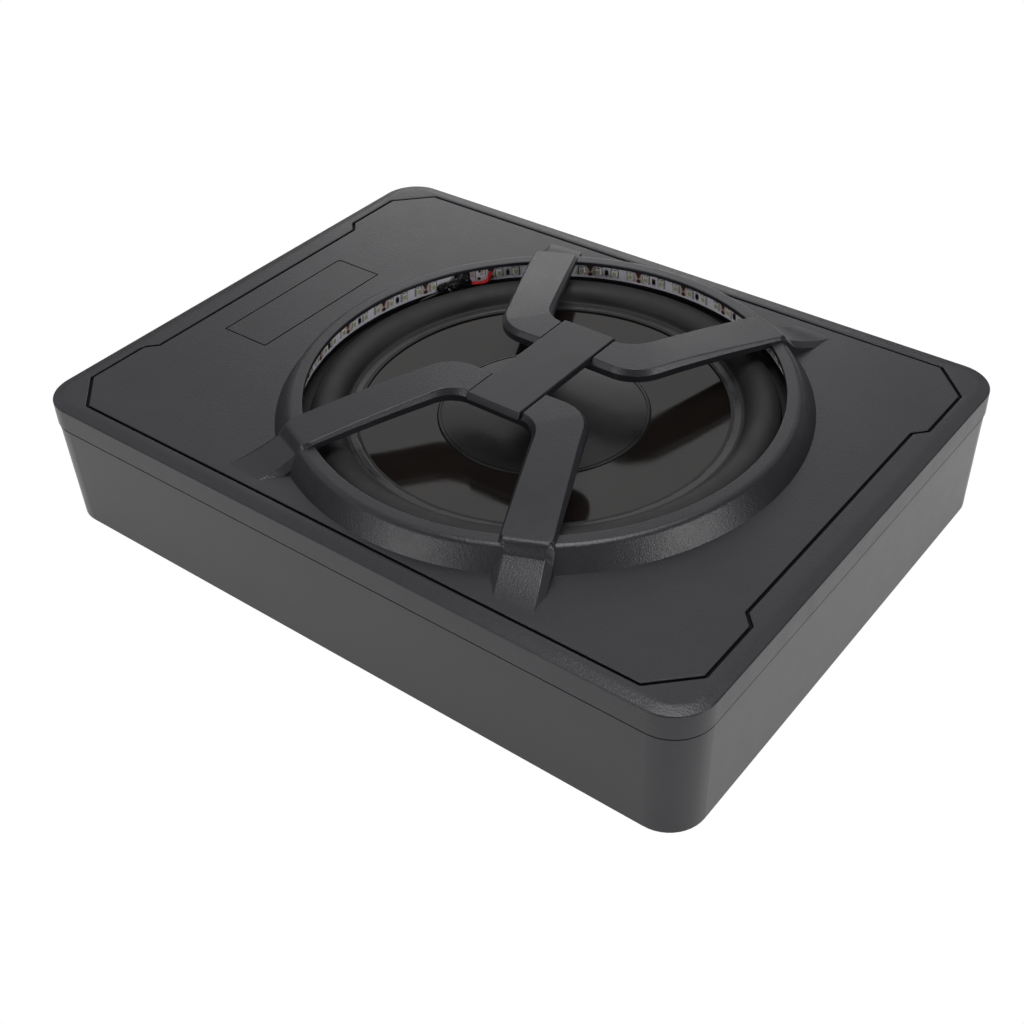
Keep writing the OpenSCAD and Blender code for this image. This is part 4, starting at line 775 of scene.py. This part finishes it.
parts = {
    "strip_film": (strip_look, "strip_film", ("light_strip",), [band(STRIP_Z, STRIP_Z + STRIP_W)]),
    "strip_print": (print_look, "chip_black", ("light_strip",), [
        slab(s, b, *INK) for s in led_at for b in brackets]),
    "strip_bare": (bare_film_look, "strip_film", ("light_strip",), [
        slab(s, block(-1.75, 1.75, -2.7, 2.9), *INK) for s in pad_at]),
    "led_cases": (led_body_look, "led_body", ("led_chips",), [
        slab(s, led_case, -0.02, LED_T, 0.06) for s in led_at]),
    "led_windows": (led_window_look, "led_body", ("led_chips",), [
        slab(s, led_window, LED_T - 0.2, LED_T + 0.02) for s in led_at]),
    "led_solder": (solder_look, "tinned", ("led_chips",), [
        slab(s, rounded(block(-0.9, 0.9, y0, y0 + 0.75), [0.25] * 4, 2), -0.02, 0.42, 0.45)
        for s in led_at for y0 in (-half_w - 0.5, half_w - 0.25)]),
    "resistor_bodies": (chip_look, "chip_black", ("led_resistors",), [
        slab(s, block(-0.75, 0.75, -1.2, 1.2), -0.02, 0.6) for s in resistor_at]),
    "resistor_ends": (solder_look, "tinned", ("led_resistors",), [
        slab(s, block(-0.78, 0.78, y0, y0 + 0.9), -0.02, 0.56, 0.3)
        for s in resistor_at for y0 in (-2.0, 1.1)]),
    "start_film": (bare_film_look, "strip_film", ("light_strip",), [
        slab(-1.0, block(-2.2, -0.2, -0.6, 2.6), *INK), slab(-0.62, block(-0.3, 1.1, 1.2, 2.7), *INK)]),
    "start_print": (print_look, "chip_black", ("light_strip",), [
        slab(-1.0, block(0.1, 0.45, -1.6, 2.8), *INK), slab(-0.6, block(-0.9, 1.3, 0.3, 0.65), *INK),
        slab(-0.35, block(-0.2, 0.1, -0.4, 2.9), *INK)]),
    "start_pads": (copper_look, "copper_pad", ("strip_pads",), [
        slab(-0.75, dot(0, -1.9, 0.9), -0.02, 0.2, 0.12),
        slab(-0.72, block(-0.5, 0.6, 1.6, 2.9), -0.02, 0.16, 0.1)]),
    "pad_discs": (copper_look, "copper_pad", ("strip_pads",), [
        slab(s, dot(0, -PAD_UP, 1.15), -0.02, 0.2, 0.12) for s in pad_at]),
    "pad_wedges": (copper_look, "copper_pad", ("strip_pads",), [
        slab(s, wedge, -0.02, 0.12, 0.04)
        for s in pad_at]),
}
for name, (look, slot, stands_for, pieces) in parts.items():
    make(name, *joined(pieces), look, replaces=stands_for, slot=slot, sharp=30, merge=0)


# ---- light strip: wires and wrap
def ring_point(a, d, z):
    """A point beside the ring's wall: angle, distance from the strip's face, height from the panel."""
    r = wall_r(z) - GLUE - STRIP_T - d
    return Vector((WOOFER_X + r * math.cos(math.radians(a)), r * math.sin(math.radians(a)), TOP + z))


def smooth_path(points, steps=8):
    """A smooth curve through the points."""
    pts = [points[0] * 2 - points[1]] + points + [points[-1] * 2 - points[-2]]
    out = []
    for p0, p1, p2, p3 in zip(pts, pts[1:], pts[2:], pts[3:]):
        for k in range(steps):
            t = k / steps
            out.append(0.5 * (2 * p1 + (p2 - p0) * t + (2 * p0 - 5 * p1 + 4 * p2 - p3) * t * t
                              + (3 * p1 - p0 - 3 * p2 + p3) * t ** 3))
    return out + [points[-1]]


def tube(stations, r, n=14):
    """A round lead with closed ends, along stations by the ring's wall."""
    path = smooth_path([ring_point(*station) for station in stations])
    side = Vector((0, 0, 1))
    loops = []
    for i, p in enumerate(path):
        way = (path[min(i + 1, len(path) - 1)] - path[max(i - 1, 0)]).normalized()
        side = (side - way * side.dot(way)).normalized()
        other = way.cross(side)
        loops.append([tuple(p + (side * math.cos(t) + other * math.sin(t)) * r)
                      for t in (2 * math.pi * k / n for k in range(n))])
    return capped(*stitch(loops), n)


# Stations along a lead: angle, distance from the strip's face, height over the panel
RED = [(147.4, 1.5, 1.0), (146.2, 1.2, -0.1), (144.5, 1.1, -0.7), (142.6, 1.0, -0.95), (141.5, 1.0, -0.1),
       (141.15, 0.95, 1.4), (140.9, 0.85, 2.8), (140.7, 0.5, 4.3)]
BLACK = [(154.6, 1.6, -0.4), (156.0, 1.2, -1.3), (157.8, 1.0, -1.9), (159.6, 0.9, -2.3), (160.8, 0.9, -3.0),
         (161.4, 1.0, GASKET_TOP + 0.1)]
TAIL = [(149.0, 3.1, -0.6), (149.8, 3.5, -2.0), (150.8, 3.6, -2.9), (152.0, 3.5, -2.7), (153.0, 3.6, -3.0),
        (153.8, 3.0, -2.4)]
make("lead_red", *tube(RED, 0.85), wire_red_look, replaces=("strip_lead_red",), slot="wire_red")
make("lead_black", *tube(BLACK, 0.75), wire_black_look, replaces=("strip_lead_black",), slot="wire_black")

# Stations along the wrap: angle, lower edge, upper edge, depth
WRAP = [(155.6, 0.1, 2.2, 1.2), (155.1, -0.9, 3.2, 2.2), (154.4, -1.9, 3.9, 2.9), (153.5, -2.7, 4.1, 3.3),
        (152.4, -3.0, 4.2, 3.6), (151.4, -2.8, 4.5, 3.7), (150.6, -2.3, 5.6, 3.7), (150.0, -1.9, 6.5, 3.3),
        (149.2, -1.6, 6.9, 3.1), (148.2, -1.4, 6.9, 3.0), (147.4, -1.5, 6.2, 3.0), (146.8, -1.6, 4.2, 2.6),
        (146.2, -1.3, 2.2, 2.1), (145.9, -0.9, 1.2, 1.5)]


def crumpled_wrap(n=44, per=7):
    """Tape bunched round the joints of the leads: folds run round it and along it."""
    loops = []
    for i in range((len(WRAP) - 1) * per + 1):
        k, f = divmod(i, per)
        a, b = WRAP[k], WRAP[min(k + 1, len(WRAP) - 1)]
        ang, lo, hi, deep = (u + (v - u) * f / per for u, v in zip(a, b))
        end = min(i, (len(WRAP) - 1) * per - i) / per
        loop = []
        for j in range(n):
            t = 2 * math.pi * j / n
            mid, half = (lo + hi) / 2, (hi - lo) / 2
            way = Vector((ang * 1.1, math.cos(t) * 2.2, math.sin(t) * 2.2))
            fold = noise.noise(way) * 0.55 + abs(noise.noise(way * 2.1 + Vector((7, 3, 1)))) * 0.6 - 0.15
            swell = 1 + 0.3 * fold * min(1.0, end)
            out = max(0.03, deep * (0.5 - 0.5 * math.cos(t)) ** 0.8 * swell)
            loop.append(tuple(ring_point(ang, out, mid + half * math.sin(t) * min(swell, 1.12))))
        loops.append(loop)
    return capped(*stitch(loops), n)


make("tape_wrap", *crumpled_wrap(), sleeve_look, replaces=("strip_sleeve",), slot="sleeve", sharp=38)
make("tape_tail", *tube(TAIL, 0.4, 10), wire_black_look, replaces=("strip_sleeve",), slot="sleeve")


# ---- surround and spider
def roll_points(e, n=22):
    """The surround's roll, its outer face moved out by e."""
    mid, half = (ROLL_FOOT_R + ROLL_EDGE_R) / 2, (ROLL_EDGE_R - ROLL_FOOT_R) / 2
    turns = (math.pi * i / n for i in range(n + 1))
    foot_z, rise = CONE_Z + ROLL_T, ROLL_H - ROLL_T + e
    return [(mid - (half + e) * math.cos(t), foot_z + rise * math.sin(t)) for t in turns]


def surround_profile():
    """The lap glued on the cone, the roll and the edge on the frame."""
    edge, face = CONE_R - SURROUND_LAP, CONE_Z + ROLL_T
    top = [(edge, CONE_Z), (edge, face - 0.15), (edge + 0.15, face), (85.6, face), (86.8, face + 0.05),
           (87.5, face + 0.35)] + roll_points(0)[1:]
    frame_side = [(ROLL_EDGE_R, FLANGE_Z + ROLL_T), (FRAME_R, FLANGE_Z + ROLL_T), (FRAME_R, FLANGE_Z),
                  (ROLL_EDGE_R - ROLL_T, FLANGE_Z)]
    under = roll_points(-ROLL_T)[::-1]
    under[-1] = (under[-1][0], CONE_Z)
    return top + frame_side + under


def spider_profile(n=60):
    """Five waves between a flat by the former and a flat by the frame."""
    inner_flat, outer_flat, wave_h = 4, 5, 1.3
    run = SPIDER_R - FORMER_R - inner_flat - outer_flat
    shares = [i / n for i in range(n + 1)]
    wave = [(FORMER_R + inner_flat + run * f, wave_h * math.sin(10 * math.pi * f)) for f in shares]
    top = [(FORMER_R, SPIDER_T)] + [(r, z + SPIDER_T) for r, z in wave] + [(SPIDER_R, SPIDER_T)]
    under = [(SPIDER_R, 0)] + wave[::-1] + [(FORMER_R, 0)]
    return [(r, SPIDER_Z + z) for r, z in top + under]


def bending_ring(name, profile, fixed_r, moving_r, look, node, slot, sectors=36, columns=6):
    """A ring, held outside by the cabinet and inside by the cone, built here in sectors with normals set from
    its profile; the sectors get no body and do not bend.
    """
    m = len(profile)
    tilt = []
    for i in range(m):
        (r0, z0), (r1, z1) = profile[i - 1], profile[(i + 1) % m]
        tilt.append(Vector((z0 - z1, r1 - r0)).normalized())
    for k in range(sectors):
        start, sweep = 2 * math.pi * k / sectors, 2 * math.pi / sectors
        verts, faces = capped(*lathe(profile, columns, start=start, sweep=sweep), m)
        label = "%s_%02d" % (name, k + 1)
        piece = make(label, verts, faces, look, body=None, replaces=(node,), slot=slot, merge=0)
        normals = []
        for c in range(columns + 1):
            a = start + sweep * c / columns
            normals += [(t.x * math.cos(a), t.x * math.sin(a), t.y) for t in tilt]
        piece.data.normals_split_custom_set_from_vertices(normals)
        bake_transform(piece)


bending_ring("surround_roll", surround_profile(), *ROLL_BEND, rubber_look, "surround", "surround_rubber")
bending_ring("spider_disc", spider_profile(), *SPIDER_BEND, simple["spider"], "spider", "spider_cloth", 24, 6)


def glue_bead(n=360):
    """Clear glue pressed out along the seam of the cone and the surround."""
    rings = []
    for k in range(n):
        a = 2 * math.pi * k / n
        way = Vector((math.cos(a), math.sin(a), 0))
        wide = noise.noise(way * 9) * 0.5 + noise.noise(way * 31) * 0.25
        inside, outside = GLUE_IN_R + wide, GLUE_OUT_R + noise.noise(way * 13 + Vector((3, 1, 2))) * 0.5
        high = CONE_Z + ROLL_T + 0.16 + 0.07 * noise.noise(way * 40)
        low = CONE_Z + ROLL_T - 0.1
        rings.append([(WOOFER_X + r * way.x, r * way.y, z) for r, z in (
            (inside, low), (inside + 0.12, high - 0.06), (inside + 0.5, high), (outside - 0.5, high),
            (outside - 0.12, high - 0.06), (outside, low))])
    return stitch(rings, True)


glue_look = grained("glue", (0.026, 0.026, 0.028), 0.25, 0.42, 0.9, 0.05, amount=0.3)
make("cone_glue", *glue_bead(), glue_look, body="cone_assembly", replaces=("surround",),
     slot="surround_rubber", sharp=60)


# ---- dust cap
def cap_profile():
    """A shallow dome on a flat rim, with a fine step round it."""
    dome_r = CAP_R - 1.5
    dome = [(dome_r * i / 16, CAP_EDGE + (CAP_H - CAP_EDGE) * (1 - (i / 16) ** 2)) for i in range(17)]
    rim = [(dome_r + 0.12, 0.12), (dome_r + 0.42, 0.12), (dome_r + 0.5, 0.45), (dome_r + 0.65, 0.52),
           (CAP_R - 0.35, 0.5), (CAP_R - 0.12, 0.44), (CAP_R, 0.3), (CAP_R, CAP_UP), (0, CAP_UP)]
    return [(r, CAP_Z + z) for r, z in dome + rim]


make("dust_dome", *lathe(cap_profile(), 180), cap_look, body="cone_assembly", replaces=("dust_cap",),
     slot="cone_gloss", sharp=25)
cap_line = [(CAP_R + d, CAP_Z + z) for d, z in ((-0.2, CAP_UP), (0.5, CAP_UP), (0.5, 0.14), (-0.2, 0.14))]
make("cap_line", *lathe(cap_line, 180), groove_look, body="cone_assembly", replaces=("dust_cap",),
     slot="cone_gloss")


# ---- stage, lights, camera
def turn(az, el, roll):
    """Rows: the camera's right, up and back directions."""
    a, e, r = (math.radians(v) for v in (az, el, roll))
    back = Vector((math.sin(a) * math.cos(e), -math.cos(a) * math.cos(e), math.sin(e)))
    right = Vector((math.cos(a), math.sin(a), 0))
    up = back.cross(right)
    return right * math.cos(r) + up * math.sin(r), up * math.cos(r) - right * math.sin(r), back


CAM_AZ, CAM_EL, CAM_ROLL = 39.08738, 39.00951, -2.45198
CAM_SHIFT = (1.27054, 55.06873, -652.91484)
CAM_ORIGIN_Z = 64.0
SENSOR, FOCAL_PX, WIDE_PX = 36.0, 1467.7262, 1024.0
FLOOR, FLOOR_GLOW = 6, 0.5

right, up, back = turn(CAM_AZ, CAM_EL, CAM_ROLL)
eye = -(right * CAM_SHIFT[0] + up * CAM_SHIFT[1] + back * CAM_SHIFT[2])
eye = (eye + Vector((0, 0, CAM_ORIGIN_Z))) * MM
cam_data = bpy.data.cameras.new("camera")
cam_data.lens = SENSOR * FOCAL_PX / WIDE_PX
cam_data.sensor_width = SENSOR
cam_data.clip_start, cam_data.clip_end = 0.05, 20.0
camera = bpy.data.objects.new("camera", cam_data)
basis = Matrix((right, up, back)).transposed().to_4x4()
camera.matrix_world = Matrix.Translation(eye) @ basis
bpy.context.scene.collection.objects.link(camera)
bpy.context.scene.camera = camera


def area_light(name, place, target, wide, high, energy):
    """A softbox that faces its target. Sizes are in metres."""
    data = bpy.data.lights.new(name, "AREA")
    data.shape = "RECTANGLE"
    data.size, data.size_y = wide, high
    data.energy = energy
    obj = bpy.data.objects.new(name, data)
    obj.location = place
    obj.rotation_euler = (Vector(target) - Vector(place)).to_track_quat("-Z", "Y").to_euler()
    bpy.context.scene.collection.objects.link(obj)


for lamp in (
    ("right_softbox", (1.6, 0.1, 0.75), (0.1, 0, 0.05), 0.8, 0.5, 7.5),
    ("front_softbox", (-0.4, -1.5, 0.72), (0, 0, 0.05), 0.85, 0.45, 5.2),
    ("rear_softbox", (-1.0, 1.45, 0.6), (0, 0, 0.05), 1.0, 0.4, 2.8),
    ("top_softbox", (0.1, 0.02, 1.2), (0, 0, 0.05), 0.6, 0.6, 7.0),
    ("low_fill", (1.6, -1.3, 0.28), (0, 0, 0.05), 0.8, 0.3, 5.0),
):
    area_light(*lamp)


def smooth_ramp(tree, value, a, b, lo, hi):
    """From lo to hi while the value goes from a to b."""
    values = {"Value": value, "From Min": a, "From Max": b, "To Min": lo, "To Max": hi}
    return add_node(tree, "ShaderNodeMapRange", values, interpolation="SMOOTHSTEP").outputs[0]


def studio_world():
    """A pale room, white to the camera, that lights the object less from the front and low by the horizon."""
    world = bpy.data.worlds.new("studio")
    bpy.context.scene.world = world
    world.use_nodes = True
    tree = world.node_tree
    tree.nodes.clear()
    way = add_node(tree, "ShaderNodeTexCoord").outputs["Generated"]
    front_way = {0: way, 1: (0.866, -0.5, 0)}
    front = add_node(tree, "ShaderNodeVectorMath", front_way, "DOT_PRODUCT").outputs["Value"]
    up_share = add_node(tree, "ShaderNodeSeparateXYZ", {0: way}).outputs["Z"]
    light = smooth_ramp(tree, front, -0.4, 0.15, 0.72, 0.225)
    for ramp in ((0.15, 0.5, 0.03, 1.0), (0.7, 0.86, 1.0, 0.5)):
        share = smooth_ramp(tree, up_share, *ramp)
        light = add_node(tree, "ShaderNodeMath", {0: light, 1: share}, "MULTIPLY").outputs[0]
    camera_ray = add_node(tree, "ShaderNodeLightPath").outputs["Is Camera Ray"]
    seen = add_node(tree, "ShaderNodeMath", {0: light, 1: camera_ray}, "MAXIMUM").outputs[0]
    room = add_node(tree, "ShaderNodeBackground", {"Color": (1, 1, 1, 1), "Strength": seen})
    add_node(tree, "ShaderNodeOutputWorld", {"Surface": room.outputs[0]})


def white_floor():
    """A floor that glows in part, most of all to the camera: it stays white and keeps a soft shadow."""
    mesh = bpy.data.meshes.new("floor")
    corners = [(x * FLOOR, y * FLOOR, 0) for x, y in ((-1, -1), (1, -1), (1, 1), (-1, 1))]
    mesh.from_pydata(corners, [], [(0, 1, 2, 3)])
    floor = bpy.data.objects.new("floor", mesh)
    bpy.context.scene.collection.objects.link(floor)
    mat = bpy.data.materials.new("floor")
    mat.use_nodes = True
    tree = mat.node_tree
    paint = tree.nodes["Principled BSDF"]
    paint.inputs["Base Color"].default_value = (0.9, 0.9, 0.9, 1)
    paint.inputs["Roughness"].default_value = 0.9
    path = add_node(tree, "ShaderNodeLightPath")
    share = FLOOR_GLOW
    for ray, more in (("Is Camera Ray", 0.83), ("Is Glossy Ray", 0.12), ("Is Transmission Ray", 0.3)):
        values = {0: path.outputs[ray], 1: more, 2: share}
        share = add_node(tree, "ShaderNodeMath", values, "MULTIPLY_ADD").outputs[0]
    glow = add_node(tree, "ShaderNodeEmission").outputs[0]
    both = add_node(tree, "ShaderNodeMixShader", {0: share, 1: paint.outputs[0], 2: glow})
    tree.links.new(both.outputs[0], tree.nodes["Material Output"].inputs["Surface"])
    mesh.materials.append(mat)


studio_world()
white_floor()
bpy.context.scene.view_settings.view_transform = "Standard"
